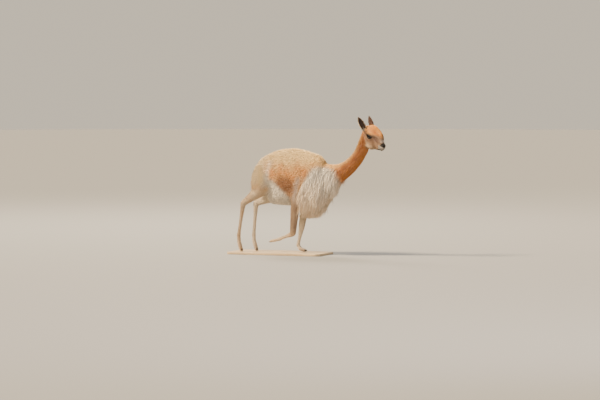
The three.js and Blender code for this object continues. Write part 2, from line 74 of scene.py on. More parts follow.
# The animal's own origin lies under its body, on the base. Its sizes below are in millimetres from there.
ANIMAL_ORIGIN = np.array([0.085, 0.0, 0.0183])
LEGS = ("foreleg_right", "foreleg_left", "hindleg_right", "hindleg_left")
LEG_PARTS = {"fore": ("upper_arm", "forearm", "cannon", "foot"), "hind": ("thigh", "shank", "cannon", "foot")}
FLESH_NODES = ("torso", "chest", "tail", "neck", "head", "ear_right", "ear_left") + tuple(
    f"{leg}_{part}" for leg in LEGS for part in LEG_PARTS[leg[:4]]
)


class Region(Enum):
    """Stretches of the body whose coat differs."""

    BODY = 0
    BREAST = 1
    NECK = 2
    HEAD = 3
    TAIL = 4
    UPPER_LEG = 5
    LOWER_LEG = 6
    FOOT = 7


@dataclass(frozen=True)
class CoatSize:
    """How the coat of a region is cut, in millimetres."""

    depth: float
    length: float
    width: float
    thickness: float
    lift: float
    smooth: int
    share: float


COAT_SIZES: dict[Region, CoatSize] = {
    Region.BODY: CoatSize(depth=9, length=21, width=4.4, thickness=1.3, lift=0.34, smooth=42, share=1.0),
    Region.BREAST: CoatSize(depth=11, length=26, width=4.0, thickness=1.3, lift=0.36, smooth=30, share=0.6),
    Region.NECK: CoatSize(depth=6, length=15, width=3.0, thickness=1.0, lift=0.34, smooth=26, share=1.0),
    Region.HEAD: CoatSize(depth=1.6, length=6.5, width=1.5, thickness=0.5, lift=0.2, smooth=5, share=0.8),
    Region.TAIL: CoatSize(depth=6, length=38, width=4.2, thickness=1.3, lift=0.48, smooth=12, share=1.2),
    Region.UPPER_LEG: CoatSize(depth=6, length=15, width=3.2, thickness=1.0, lift=0.3, smooth=24, share=1.0),
    Region.LOWER_LEG: CoatSize(depth=2, length=9, width=1.9, thickness=0.7, lift=0.18, smooth=7, share=0.7),
    Region.FOOT: CoatSize(depth=1.2, length=6, width=1.6, thickness=0.6, lift=0.16, smooth=5, share=0.6),
}


def place(point: Sequence[float]) -> Array:
    """A point given in millimetres from the animal's origin, in scene metres."""
    return np.asarray(point, float) * MM + ANIMAL_ORIGIN


def unit(vectors: Array) -> Array:
    """Vectors, one a row, at length one."""
    return vectors / np.maximum(np.linalg.norm(vectors, axis=-1, keepdims=True), TINY)


def ease(low: float, high: float, value: Array) -> Array:
    """A soft step from 0 at low to 1 at high."""
    t = np.clip((value - low) / (high - low), 0, 1)
    return t * t * (3 - 2 * t)


def linear(hex_colour: str) -> tuple[float, ...]:
    """An sRGB hex colour as linear RGBA."""
    channels = [int(hex_colour[i : i + 2], 16) / 255 for i in (1, 3, 5)]
    return (*[c / 12.92 if c <= 0.04045 else ((c + 0.055) / 1.055) ** 2.4 for c in channels], 1.0)


def new_object(name: str, mesh: Mesh) -> Object:
    """Links a mesh into the scene as an object at the origin."""
    made = bpy.data.objects.new(name, mesh)
    bpy.context.scene.collection.objects.link(made)
    return made


def object_from(name: str, bm: BMesh, smooth: bool = True) -> Object:
    """Turns a bmesh into a linked object.

    Args:
        name: The piece's name.
        bm: The mesh, freed afterwards.
        smooth: Whether faces are shaded smooth.

    Returns:
        The object, at the origin.
    """
    mesh = bpy.data.meshes.new(name)
    bm.to_mesh(mesh)
    bm.free()
    if smooth:
        mesh.shade_smooth()
    return new_object(name, mesh)


def relax(bm: BMesh, verts: Sequence[BMVert], factor: float) -> None:
    """Moves vertices toward the middle of their neighbours."""
    bmesh.ops.smooth_vert(bm, verts=verts, factor=factor, use_axis_x=True, use_axis_y=True, use_axis_z=True)


def baked(subject: Object) -> Mesh:
    """The subject's mesh with its modifiers applied, as a new mesh."""
    bpy.context.view_layer.update()
    graph = bpy.context.evaluated_depsgraph_get()
    return bpy.data.meshes.new_from_object(subject.evaluated_get(graph))


def coordinates(mesh: Mesh) -> Array:
    """A mesh's vertices as rows."""
    co = np.empty(len(mesh.vertices) * 3)
    mesh.vertices.foreach_get("co", co)
    return co.reshape(-1, 3)


def set_coordinates(mesh: Mesh, co: Array) -> None:
    """Moves a mesh's vertices."""
    mesh.vertices.foreach_set("co", co.ravel())
    mesh.update()


def vertex_normals(mesh: Mesh) -> Array:
    """A mesh's vertex normals as rows."""
    normals = np.empty(len(mesh.vertices) * 3, np.float32)
    mesh.vertex_normals.foreach_get("vector", normals)
    return normals.reshape(-1, 3).astype(float)


class Web:
    """The edges of a mesh, for smoothing values over its surface."""

    pull = 0.6

    def __init__(self, mesh: Mesh) -> None:
        """Reads the mesh's edges."""
        pairs = np.empty(len(mesh.edges) * 2, np.int32)
        mesh.edges.foreach_get("vertices", pairs)
        self.a, self.b = pairs.reshape(-1, 2).T
        self.count = len(mesh.vertices)
        degree = np.bincount(self.a, minlength=self.count) + np.bincount(self.b, minlength=self.count)
        self.degree = np.maximum(degree, 1)

    def average(self, values: Array) -> Array:
        """The mean of each vertex's neighbours.

        Args:
            values: One row for each vertex.

        Returns:
            The means, in the same shape.
        """
        columns = values.reshape(self.count, -1)
        total = np.empty_like(columns)
        for i in range(columns.shape[1]):
            column = columns[:, i]
            total[:, i] = np.bincount(self.a, column[self.b], self.count)
            total[:, i] += np.bincount(self.b, column[self.a], self.count)
        return (total / self.degree[:, None]).reshape(values.shape)

    def smoothed(self, values: Array, rounds: int) -> Array:
        """Values after some rounds of averaging with their neighbours."""
        for _ in range(rounds):
            values = (1 - self.pull) * values + self.pull * self.average(values)
        return values


# Body sizes, in millimetres from the animal's origin: a station is x, y, z, half-width, reach up, reach down.
Stations = Sequence[Sequence[float]]
TRUNK: Stations = (
    (-262, 0, 630, 64, 66, 74),
    (-228, 0, 638, 94, 112, 134),
    (-175, 0, 642, 112, 146, 230),
    (-105, 0, 636, 128, 187, 262),
    (-5, 0, 617, 137, 217, 250),
    (90, 0, 606, 138, 219, 236),
    (172, 0, 602, 131, 206, 214),
    (240, 0, 604, 120, 188, 186),
    (292, 0, 612, 101, 146, 150),
    (335, 0, 620, 80, 98, 112),
)
NECK: Stations = (
    (325, 0, 630, 84, 84, 98),
    (403, 0, 640, 74, 72, 88),
    (478, -2, 673, 64, 62, 70),
    (550, -8, 731, 57, 55, 60),
    (606, -16, 802, 53, 52, 56),
    (640, -25, 872, 51, 50, 56),
    (660, -30, 934, 48, 44, 52),
    (676, -28, 972, 42, 34, 44),
)
TAIL: Stations = (
    (-262, 0, 672, 26, 22, 22),
    (-292, 0, 640, 30, 24, 24),
    (-306, 0, 588, 31, 24, 22),
    (-312, 0, 530, 25, 20, 20),
    (-314, 0, 496, 15, 12, 12),
)
BREAST_CORE = ((232, 0, 545), (130, 122, 185))

# The head's own frame: forward along the face, left, and up out of the forehead, from between the eyes.
HEAD_ORIGIN = place((734, -42, 940))
HEAD_TURN = np.array(
    Matrix.Rotation(math.radians(-16), 3, "Z")
    @ Matrix.Rotation(math.radians(30), 3, "Y")
    @ Matrix.Rotation(math.radians(4), 3, "X")
)
SKULL: Stations = (
    (-84, 0, 2, 42, 44, 54),
    (-56, 0, 1, 55, 70, 86),
    (-22, 0, 0, 58, 75, 98),
    (10, 0, -3, 53, 72, 103),
    (40, 0, -12, 43, 71, 88),
    (66, 0, -20, 35, 62, 66),
    (84, 0, -26, 30, 45, 54),
    (104, 0, -30, 27, 35, 41),
    (119, 0, -31, 23, 28, 32),
)
NOSE_BRIDGE: Stations = ((34, 0, 38, 22, 19, 20), (76, 0, 7, 15, 12, 13), (114, 0, -9, 11, 8, 9))
FACE_FORMS = (
    ((8, 21, -58), (60, 28, 43)),
    ((8, -21, -58), (60, 28, 43)),
    ((119, 10, -33), (18, 14, 16)),
    ((119, -10, -33), (18, 14, 16)),
    ((98, 16, -35), (24, 13, 18)),
    ((98, -16, -35), (24, 13, 18)),
    ((126, 0, -15), (12, 15, 11)),
    ((112, 0, -56), (20, 17, 12)),
)

JOINTS: dict[str, dict[str, Sequence[float]]] = {
    "foreleg_right": {
        "blade": (196, -74, 650), "top": (182, -84, 556), "middle": (82, -84, 416), "lower": (52, -66, 152),
        "fetlock": (-66, -50, 107), "pastern": (-98, -49, 97), "toe": (-146, -48, 87),
    },
    "foreleg_left": {
        "blade": (226, 74, 650), "top": (216, 82, 572), "middle": (112, 76, 444), "lower": (76, 56, 188),
        "fetlock": (53, 44, 54), "pastern": (70, 43, 27), "toe": (114, 42, 11),
    },
    "hindleg_right": {
        "top": (-204, -70, 655), "middle": (-206, -84, 508), "lower": (-372, -77, 388),
        "fetlock": (-418, -64, 129), "pastern": (-415, -63, 78), "toe": (-396, -62, 11),
    },
    "hindleg_left": {
        "top": (-190, 70, 640), "middle": (-152, 84, 452), "lower": (-322, 70, 384),
        "fetlock": (-336, 55, 129), "pastern": (-333, 54, 78), "toe": (-312, 53, 11),
    },
}
# Girths down each length of a leg: share of the length, half-width, front, rear.
GIRTHS: dict[str, Stations] = {
    "blade": ((0, 30, 56, 56), (0.5, 40, 66, 66), (1, 44, 66, 66)),
    "upper_arm": ((0, 44, 66, 66), (0.4, 46, 60, 60), (0.8, 39, 46, 50), (1, 35, 40, 46)),
    "forearm": ((0, 35, 40, 42), (0.3, 33, 36, 36), (0.65, 28, 31, 31), (0.9, 24, 27, 27), (1, 22, 26, 25)),
    "thigh": ((-0.12, 42, 80, 76), (0.3, 52, 94, 96), (0.72, 52, 86, 97), (1, 48, 62, 94)),
    "shank": ((0, 46, 62, 60), (0.28, 41, 50, 50), (0.55, 33, 39, 37), (0.82, 25, 31, 29), (1, 23, 27, 27)),
    "fore_cannon": (
        (0, 22, 24, 24), (0.18, 19, 22, 21), (0.5, 15, 16, 16), (0.82, 15, 14, 15), (1, 18, 17, 17),
    ),
    "hind_cannon": (
        (0, 22, 24, 25), (0.16, 18, 20, 21), (0.42, 15, 16, 17), (0.82, 15, 14, 15), (1, 18, 17, 18),
    ),
}
# Stations down a toe: the joints it lies between, its share of the way, how far aside, half-width and depth.
TOE_STATIONS = (
    ("fetlock", "pastern", 0.0, 3.9, 12.0, 15.5),
    ("fetlock", "pastern", 0.55, 6.5, 12.0, 13.5),
    ("pastern", "toe", 0.0, 9.5, 12.0, 13.5),
    ("pastern", "toe", 0.5, 12.0, 12.0, 13.5),
    ("pastern", "toe", 1.0, 13.0, 10.5, 10.5),
)
# Stations of the heel bone: how far up from the hock and back from it, and the radius.
HEEL_STATIONS = ((-30.0, 4.0, 13.0), (9.6, 19.2, 14.0), (32.0, 24.0, 12.0))


class Curve:
    """A smooth curve through points, as rows of any width."""

    def __init__(self, points: Stations) -> None:
        """Keeps the points with one more beyond either end."""
        rows = np.asarray(points, float)
        self.rows = np.vstack([2 * rows[0] - rows[1], rows, 2 * rows[-1] - rows[-2]])
        self.spans = len(rows) - 1

    def at(self, share: Array) -> Array:
        """The curve's rows at shares of its length from 0 to 1."""
        where = np.clip(share, 0, 1) * self.spans
        span = np.minimum(where.astype(int), self.spans - 1)
        t = (where - span)[:, None]
        a, b, c, d = (self.rows[span + i] for i in range(4))
        square, cube = 2 * a - 5 * b + 4 * c - d, 3 * b - a - 3 * c + d
        return 0.5 * (2 * b + (c - a) * t + square * t**2 + cube * t**3)

    def tangent(self, share: Array) -> Array:
        """The curve's direction, in its first three columns."""
        step = 1e-3
        low, high = (np.clip(share + move, 0, 1) for move in (-step, step))
        return unit((self.at(high) - self.at(low))[:, :3])


def between(a: Sequence[float], b: Sequence[float], share: float) -> Array:
    """The point at a share of the way from a to b."""
    return np.asarray(a, float) * (1 - share) + np.asarray(b, float) * share


def loft(
    stations: Stations, around: int = 32, per_span: int = 6, power: float = 2.0, cap: float = 0.6
) -> BMesh:
    """A rounded closed form through stations, made from a sphere whose rows are moved onto the sections.

    Args:
        stations: The sections, in millimetres.
        around: Vertices round a section.
        per_span: Rows between two stations.
        power: Squareness of the sections, 2 for ovals.
        cap: Length of the rounded ends, as a share of the end section.

    Returns:
        The form, in millimetres.
    """
    domes = 4
    rows = (len(stations) - 1) * per_span
    bm = bmesh.new()
    bmesh.ops.create_uvsphere(bm, u_segments=around, v_segments=rows + 2 * domes, radius=1)
    ball = np.array([v.co for v in bm.verts])
    row = np.arccos(np.clip(ball[:, 2], -1, 1)) / math.pi * (rows + 2 * domes)
    along = np.clip((row - domes) / rows, 0, 1)
    beyond = np.maximum(domes - row, 0) - np.maximum(row - domes - rows, 0)
    turn = np.abs(beyond) / domes * math.pi / 2
    curve = Curve(stations)
    section, ahead = curve.at(along), curve.tangent(along)
    side = np.array([0.0, 1.0, 0.0]) - ahead * ahead[:, 1:2]
    side = unit(side)
    upper = np.cross(ahead, side)
    angle = np.arctan2(ball[:, 1], ball[:, 0])
    across, rise = (
        np.sign(v) * np.abs(v) ** (2 / power) * np.cos(turn) for v in (np.cos(angle), np.sin(angle))
    )
    reach = np.where(rise > 0, section[:, 4], section[:, 5])
    swell = -np.sign(beyond) * cap * np.sin(turn) * section[:, 3:].mean(1)
    centre = section[:, :3] + ahead * swell[:, None]
    moved = centre + side * (across * section[:, 3])[:, None] + upper * (rise * reach)[:, None]
    for vert, co in zip(bm.verts, moved):
        vert.co = co
    bmesh.ops.recalc_face_normals(bm, faces=bm.faces)
    return bm


def ellipsoid(centre: Sequence[float], radii: Sequence[float]) -> BMesh:
    """A closed ellipsoid, in millimetres."""
    bm = bmesh.new()
    size = Matrix.Translation(centre) @ Matrix.Diagonal((*radii, 1))
    bmesh.ops.create_uvsphere(bm, u_segments=28, v_segments=18, radius=1, matrix=size)
    return bm


class Limb:
    """One leg's forms and the way its hair lies."""

    def __init__(self, name: str) -> None:
        """Reads the leg's joints by its name."""
        self.name = name
        self.fore = name.startswith("fore")
        self.joints = JOINTS[name]

    def length(self, start: str, end: str, table: str) -> BMesh:
        """The form from one joint to another with the girths of a table."""
        a, b = self.joints[start], self.joints[end]
        return loft([(*between(a, b, share), *sizes) for share, *sizes in GIRTHS[table]], around=24)

    def toes(self) -> list[BMesh]:
        """The two toes, side by side."""
        made = []
        for side in (-1, 1):
            stations = [
                (*(between(self.joints[a], self.joints[b], share) + (0, side * aside, 0)), half, deep, deep)
                for a, b, share, aside, half, deep in TOE_STATIONS
            ]
            made.append(loft(stations, around=16))
        return made

    def heel(self) -> BMesh:
        """The heel bone behind the hock."""
        lower, fetlock = (np.array(self.joints[key], float) for key in ("lower", "fetlock"))
        up = unit(lower - fetlock)
        back = np.cross(up, [0, -1, 0])
        return loft([(*(lower + up * u + back * b), r, r, r) for u, b, r in HEEL_STATIONS], around=16)

    def forms(self) -> dict[str, list[BMesh]]:
        """Every form of the leg, under the name of the part it belongs to."""
        if self.fore:
            return {
                "upper_arm": [
                    self.length("blade", "top", "blade"), self.length("top", "middle", "upper_arm"),
                ],
                "forearm": [self.length("middle", "lower", "forearm")],
                "cannon": [self.length("lower", "fetlock", "fore_cannon")],
                "foot": self.toes(),
            }
        return {
            "thigh": [self.length("top", "middle", "thigh")],
            "shank": [self.length("middle", "lower", "shank"), self.heel()],
            "cannon": [self.length("lower", "fetlock", "hind_cannon")],
            "foot": self.toes(),
        }

    def lie(self, part: str) -> Array:
        """Which way the hair of a part lies."""
        ends = {
            "upper_arm": ("blade", "middle"), "thigh": ("top", "middle"), "forearm": ("middle", "lower"),
            "shank": ("middle", "lower"), "cannon": ("lower", "fetlock"), "foot": ("fetlock", "toe"),
        }
        start, end = (np.array(self.joints[key], float) for key in ends[part])
        return unit(end - start)


RIPPLE_WAVES, RIPPLE_STRETCH, RIPPLE_HEIGHT = 7, (0.6, 1.5), 3.2


def ripple(points: Array, size: float, seed: int) -> Array:
    """Soft seeded noise from -1 to 1 over points in metres.

    Args:
        points: One point a row.
        size: Length of its waves, in millimetres.
        seed: Picks the waves.

    Returns:
        One value for each point.
    """
    random = np.random.default_rng(seed)
    waves = unit(random.normal(size=(RIPPLE_WAVES, 3))) * (2 * math.pi / (size * MM))
    waves *= random.uniform(*RIPPLE_STRETCH, (RIPPLE_WAVES, 1))
    return np.sin(points @ waves.T + random.uniform(0, 2 * math.pi, RIPPLE_WAVES)).sum(1) / RIPPLE_HEIGHT


def in_head(points: Array) -> Array:
    """Scene points in the head's own frame, in millimetres."""
    return (points - HEAD_ORIGIN) @ HEAD_TURN / MM


def from_head(points: Array) -> Array:
    """Points of the head's own frame in the scene."""
    return np.asarray(points, float) * MM @ HEAD_TURN.T + HEAD_ORIGIN


def in_animal(points: Array) -> Array:
    """Scene points in millimetres from the animal's origin."""
    return (points - ANIMAL_ORIGIN) / MM


def mix(a: Array, b: Array, share: Array) -> Array:
    """Rows of a and b, mixed by a share for each row."""
    return a + (b - a) * share[:, None]


def hump(value: Array, width: float, power: float = 2) -> Array:
    """A soft ridge, 1 where the value is 0 and nearly nothing beyond its width."""
    return np.exp(-(np.abs(value / width) ** power))


def oval(points: Array, at: Sequence[float], size: Sequence[float], power: float = 2) -> Array:
    """A soft oval spot, on both sides of the animal where it doesn't stand in the middle.

    Args:
        points: Rows.
        at: Its middle.
        size: Its reach along each axis.
        power: How sharply it ends.

    Returns:
        Its strength at each point, 1 in the middle.
    """
    mirrored = points * 1.0
    if at[1]:
        mirrored[:, 1] = np.abs(mirrored[:, 1])
    return np.exp(-(np.abs((mirrored - at) / size) ** power).sum(1))


def left_or_right(side: int) -> str:
    """The word for a side, 1 on the animal's left and -1 on its right."""
    return "left" if side > 0 else "right"


@dataclass(frozen=True)
class Eye:
    """The eye's place, ball and lids in the head's frame, in millimetres or as shares of the way to the lids."""

    forward: float = -6
    side: float = 37.5
    up: float = -8
    radius: float = 20
    half_length: float = 18
    half_height: float = 11.5
    slant: float = math.radians(6)
    lid: float = 2.4
    lid_edge: float = 1.08
    lid_width: Pair = (1.12, 2.2)
    sunk: float = 4.5
    crease: Triple = (1.1, 1.62, 0.16)
    reach: float = 2.4
    innermost: float = 22

    def around(self, head_points: Array) -> tuple[Array, Array, Array]:
        """Where points lie round the opening between the lids.

        Args:
            head_points: Rows in the head's frame.

        Returns:
            The share of the way out to the lids' edge, and the distances ahead of and above the eye's centre.
        """
        f, u = head_points[:, 0] - self.forward, head_points[:, 2] - self.up
        ahead = f * math.cos(self.slant) + u * math.sin(self.slant)
        above = u * math.cos(self.slant) - f * math.sin(self.slant)
        return np.hypot(ahead / self.half_length, above / self.half_height), ahead, above

    def lidded(self, h: Array) -> Array:
        """Wraps the lids round the eyeballs and sinks the skin between them.

        Args:
            h: Points of the face in the head's frame.

        Returns:
            The moved points.
        """
        share, ahead, above = self.around(h)
        side = np.abs(h[:, 1])
        near = (share < self.reach) & (side > self.innermost)
        shrink = np.minimum(self.lid_edge / np.maximum(share, TINY), 1.0)
        flat = np.clip(1 - ((ahead * shrink) ** 2 + (above * shrink) ** 2) / self.radius**2, 0.02, 1)
        ball = self.side + self.radius * np.sqrt(flat)
        rim = ball + self.lid
        fold, fold_at, fold_width = self.crease
        crease = fold * hump(share - fold_at, fold_width) * ease(0, 4, above)
        lidded = rim + (side - rim) * ease(*self.lid_width, share) - crease
        sunk = ball - self.sunk
        target = np.where(share < 1, sunk + (lidded - sunk) * ease(0.84, 1.0, share), lidded)
        moved = h.copy()
        moved[near, 1] = (np.sign(h[:, 1]) * target)[near]
        return moved


@dataclass(frozen=True)
class Mouth:
    """The mouth's line, lips and cleft in the head's frame, in millimetres."""

    corner: float = 84
    height: float = -43
    slope: float = 0.09
    middle: float = 117
    corner_lift: float = 2.5
    depth: float = 4.2
    width: float = 1.7
    lip: Triple = (1.3, 5.5, 3.5)
    cleft: Pair = (3.0, 1.5)

    def line(self, forward: Array) -> Array:
        """How high the lips meet."""
        return self.height - self.slope * (forward - self.middle)

    def move(self, h: Array) -> Array:
        """How far the lips stand out, and with a negative sign how deep the mouth and the cleft lie."""
        line = self.line(h[:, 0]) + self.corner_lift * ease(20, 0, h[:, 0] - self.corner)
        off_line = h[:, 2] - line
        on_mouth = ease(self.corner - 6, self.corner + 8, h[:, 0])
        lip, lip_at, lip_width = self.lip
        lips = lip * hump(np.abs(off_line) - lip_at, lip_width) * on_mouth
        cleft = self.cleft[0] * hump(h[:, 1], self.cleft[1]) * ease(122, 130, h[:, 0])
        cleft *= ease(line, line + 3, h[:, 2]) * ease(-15, -20, h[:, 2])
        return lips - self.depth * hump(off_line, self.width) * on_mouth - cleft


@dataclass(frozen=True)
class Nostril:
    """The slanting slits of the nose in the head's frame, in millimetres, each with its raised outer rim."""

    place: Triple = (133.0, 9.5, -15.0)
    tilt: float = math.radians(35)
    bow: float = 0.05
    depth: float = 6.5
    size: Pair = (6.0, 2.0)
    rim: float = 1.5
    rim_off: float = 4.2
    rim_size: Pair = (8.0, 2.4)

    def move(self, h: Array) -> Array:
        """How far the rims stand out, and with a negative sign how deep the slits lie."""
        _, aside, height = self.place
        side, up = np.abs(h[:, 1]) - aside, h[:, 2] - height
        along = side * math.cos(self.tilt) + up * math.sin(self.tilt)
        across = up * math.cos(self.tilt) - side * math.sin(self.tilt) - self.bow * along**2
        hole = hump(along, self.size[0], 4) * hump(across, self.size[1])
        rim = hump(along, self.rim_size[0], 4) * hump(across - self.rim_off, self.rim_size[1])
        return (self.rim * rim - self.depth * hole) * ease(116, 122, h[:, 0])


EYE, MOUTH, NOSTRIL = Eye(), Mouth(), Nostril()

Swells = tuple[tuple[Triple, Triple, float], ...]

# Soft forms of the face, in millimetres: a place in the head's frame, its reach and how far it stands out: the
# rim over the eye, the hollow before it, the cheekbone, the cheek's hollow, the jaw's corner, the end of the
# bridge, and two stretches of the jaw's underside.
FACE_SWELLS: Swells = (
    ((-8, 52, 13), (26, 16, 7), 3.6),
    ((30, 40, -2), (16, 14, 14), -3.4),
    ((14, 50, -36), (34, 16, 8), 2.8),
    ((52, 34, -34), (24, 14, 14), -2.6),
    ((-40, 46, -72), (26, 20, 22), 2.2),
    ((84, 12, 0), (14, 14, 12), 1.6),
    ((36, 14, -92), (46, 24, 26), 9.0),
    ((78, 10, -74), (24, 20, 20), 4.5),
)


def face_shaped(h: Array, out: Array) -> Array:
    """Shapes the face: bones first, then lids, then mouth and nose.

    Args:
        h: Points in the head's frame.
        out: Outward directions there.

    Returns:
        The moved points.
    """
    for at, size, by in FACE_SWELLS:
        h = h + out * (by * oval(h, at, size))[:, None]
    h = EYE.lidded(h)
    h = h + out * MOUTH.move(h)[:, None]
    return h + out * NOSTRIL.move(h)[:, None]


# Soft dents and swellings of the body under the coat, in millimetres: a place, its reach, how far it moves.
BODY_SWELLS: Swells = (
    ((-150, 118, 470), (46, 60, 60), -16),
    ((-110, 120, 545), (40, 70, 55), -9),
    ((-215, 112, 560), (60, 60, 90), 9),
    ((-60, 130, 470), (70, 60, 46), 5),
    ((20, 130, 400), (60, 60, 30), -8),
    ((150, 128, 600), (34, 50, 70), -7),
    ((228, 112, 640), (46, 50, 80), 8),
    ((330, 60, 560), (40, 50, 40), 6),
    ((300, 0, 770), (50, 46, 30), -4),
    ((-5, 0, 850), (140, 60, 60), 5),
)


# The rear edge of shoulder and breast: it passes through this x and z, and leans forward as it rises.
SHOULDER_X, SHOULDER_Z = 141, 547


def shoulder_edge(z: Array, slope: float, low: float, high: float) -> Array:
    """How far forward the shoulder's rear edge lies at each height, in millimetres."""
    return np.clip(SHOULDER_X + (z - SHOULDER_Z) * slope, low, high)


def blended_size(weights: Array, name: str) -> Array:
    """A coat size, blended by the weights of the regions."""
    return weights @ np.array([getattr(COAT_SIZES[region], name) for region in Region], float)


def neck_line() -> tuple[Array, Array, Array]:
    """Shares along the neck, with the rows of its stations and its direction there."""
    spine = Curve(NECK)
    shares = np.linspace(0, 1, 80)
    return shares, spine.at(shares), spine.tangent(shares)


def along_surface(directions: Array, normal: Array) -> Array:
    """Directions with the part that points out of the surface taken away."""
    return directions - normal * (directions * normal).sum(1)[:, None]


@dataclass
class SkinMap:
    """What is known of the skin at each of its vertices."""

    co: Array
    normal: Array
    weights: Array
    lie: Array
    part: Array


@dataclass
class Skin:
    """One closed skin for all flesh, inside the solids by the depth of the coat. Sizes are in millimetres."""

    grain: float = 5.0
    quick_grain: float = 7.0
    tail_share: float = 0.8
    soften_pull: float = 0.6
    soften_rounds: int = 8
    depth_rounds: int = 10
    region_rounds: int = 7
    lie_rounds: int = 14
    lie_pull: float = 0.7
    eye_reach: float = 34
    eye_side: float = 25
    muzzle_from: float = 96
    limbs: list[Limb] = field(default_factory=lambda: [Limb(name) for name in LEGS])
    part_names: list[str] = field(default_factory=list)
    part_regions: list[Region] = field(default_factory=list)

    def forms(self) -> dict[tuple[str, Region], list[BMesh]]:
        """Every closed form of the body, under its part and region."""
        made = {
            ("torso", Region.BODY): [loft(TRUNK[:8], around=48, power=2.1)],
            ("breast", Region.BREAST): [loft(TRUNK[6:], around=40, power=2.1), ellipsoid(*BREAST_CORE)],
            ("tail", Region.TAIL): [
                loft([(*row[:3], *[v * self.tail_share for v in row[3:]]) for row in TAIL], around=20)
            ],
            ("neck", Region.NECK): [loft(NECK, around=32)],
            ("head", Region.HEAD): [loft(SKULL, around=36, power=2.1), loft(NOSE_BRIDGE, around=20)]
            + [ellipsoid(*form) for form in FACE_FORMS],
        }
        for bm in made["head", Region.HEAD]:
            turn = Matrix.Translation(Vector(in_animal(HEAD_ORIGIN))) @ Matrix(HEAD_TURN.tolist()).to_4x4()
            bmesh.ops.transform(bm, matrix=turn, verts=bm.verts)
        for limb in self.limbs:
            for part, pieces in limb.forms().items():
                region = Region.UPPER_LEG if part in ("upper_arm", "thigh") else Region.LOWER_LEG
                made[f"{limb.name}_{part}", Region.FOOT if part == "foot" else region] = pieces
        return made

    def join(self) -> tuple[Object, KDTree, Array]:
        """Joins the forms into one mesh, and notes which part each stretch came from."""
        whole = bpy.data.meshes.new("skin")
        gathered = bmesh.new()
        points, labels = [], []
        to_scene = Matrix.Translation(Vector(ANIMAL_ORIGIN)) @ Matrix.Scale(MM, 4)
        for label, ((part, region), pieces) in enumerate(self.forms().items()):
            self.part_names.append(part)
            self.part_regions.append(region)
            for bm in pieces:
                bmesh.ops.transform(bm, matrix=to_scene, verts=bm.verts)
                bm.to_mesh(whole)
                bm.free()
                co = coordinates(whole)
                points.append(co)
                labels.append(np.full(len(co), label))
                gathered.from_mesh(whole)
        gathered.to_mesh(whole)
        gathered.free()
        where, which = np.vstack(points), np.concatenate(labels)
        tree = KDTree(len(where))
        for i, point in enumerate(where):
            tree.insert(point, i)
        tree.balance()
        return new_object("skin", whole), tree, which

    def lies(self, co: Array, part: Array) -> Array:
        """Which way the hair lies at each point.

        Args:
            co: Points in the scene.
            part: The part each belongs to.

        Returns:
            Directions, not yet laid along the skin.
        """
        x, _, z = in_animal(co).T
        over_back, down_rump, down_tail = (-1.0, 0.0, -0.35), (-0.35, 0.0, -1.0), (-0.15, 0.0, -1.0)
        lie = mix(np.tile(over_back, (len(co), 1)), np.tile(down_rump, (len(co), 1)), ease(-150, -250, x))
        lie[:, 2] -= 0.45 * ease(640, 480, z)
        _, rows, ahead = neck_line()
        line = place(rows[:, :3])
        for label, name in enumerate(self.part_names):
            here = part == label
            if name == "neck":
                nearest = np.linalg.norm(co[here][:, None] - line[None], axis=2).argmin(1)
                lie[here] = -ahead[nearest]
            elif name == "breast":
                high = ease(600, 760, z[here])
                lie[here] = np.column_stack([-0.3 - 0.7 * high, 0 * high, -1 + 0.6 * high])
            elif name == "tail":
                lie[here] = down_tail
            elif name == "head":
                down = ease(10, -60, in_head(co[here])[:, 2])
                lie[here] = np.column_stack([0 * down - 1, 0 * down, -0.6 * down]) @ HEAD_TURN.T
            else:
                for limb in self.limbs:
                    if name.startswith(limb.name):
                        lie[here] = limb.lie(name[len(limb.name) + 1 :])
        return lie

    def build(self) -> tuple[Object, SkinMap]:
        """Makes the skin.

        Returns:
            The skin's object and its map.
        """
        subject, tree, which = self.join()
        remesh = subject.modifiers.new("one_skin", "REMESH")
        remesh.mode = "VOXEL"
        remesh.voxel_size = self.grain * MM
        mesh = baked(subject)
        subject.modifiers.clear()
        subject.data = mesh
        co = coordinates(mesh)
        part = which[[tree.find(point)[1] for point in co]]
        torso, breast = (self.part_names.index(name) for name in ("torso", "breast"))
        trunk = (part == torso) | (part == breast)
        x, _, z = in_animal(co).T
        part = np.where(trunk, np.where(x > shoulder_edge(z, 0.66, 130, 250), breast, torso), part)
        LOG.info("skin joined: %d vertices", len(co))
        self.soften(mesh, part)
        part = self.refine_head(mesh, part)
        self.carve(mesh, part)
        web = Web(mesh)
        one_hot = np.eye(len(Region))[[self.part_regions[label].value for label in part]]
        weights = web.smoothed(one_hot, self.region_rounds)
        co, normal = coordinates(mesh), vertex_normals(mesh)
        lie = self.lies(co, part)
        for _ in range(self.lie_rounds):
            lie = unit(along_surface(lie, normal))
            lie = (1 - self.lie_pull) * lie + self.lie_pull * web.average(lie)
        lie = unit(along_surface(lie, normal))
        mesh.shade_smooth()
        return subject, SkinMap(co, normal, weights, lie, part)

    def soften(self, mesh: Mesh, part: Array) -> None:
        """Smooths the creases between forms, more on the body than on the legs and face."""
        web = Web(mesh)
        rounds = np.array([COAT_SIZES[region].smooth for region in self.part_regions], float)[part]
        rounds = web.smoothed(rounds, self.soften_rounds)
        co = coordinates(mesh)
        for step in range(int(rounds.max())):
            share = np.clip(rounds - step, 0, 1)[:, None]
            co += self.soften_pull * share * (web.average(co) - co)
        set_coordinates(mesh, co)

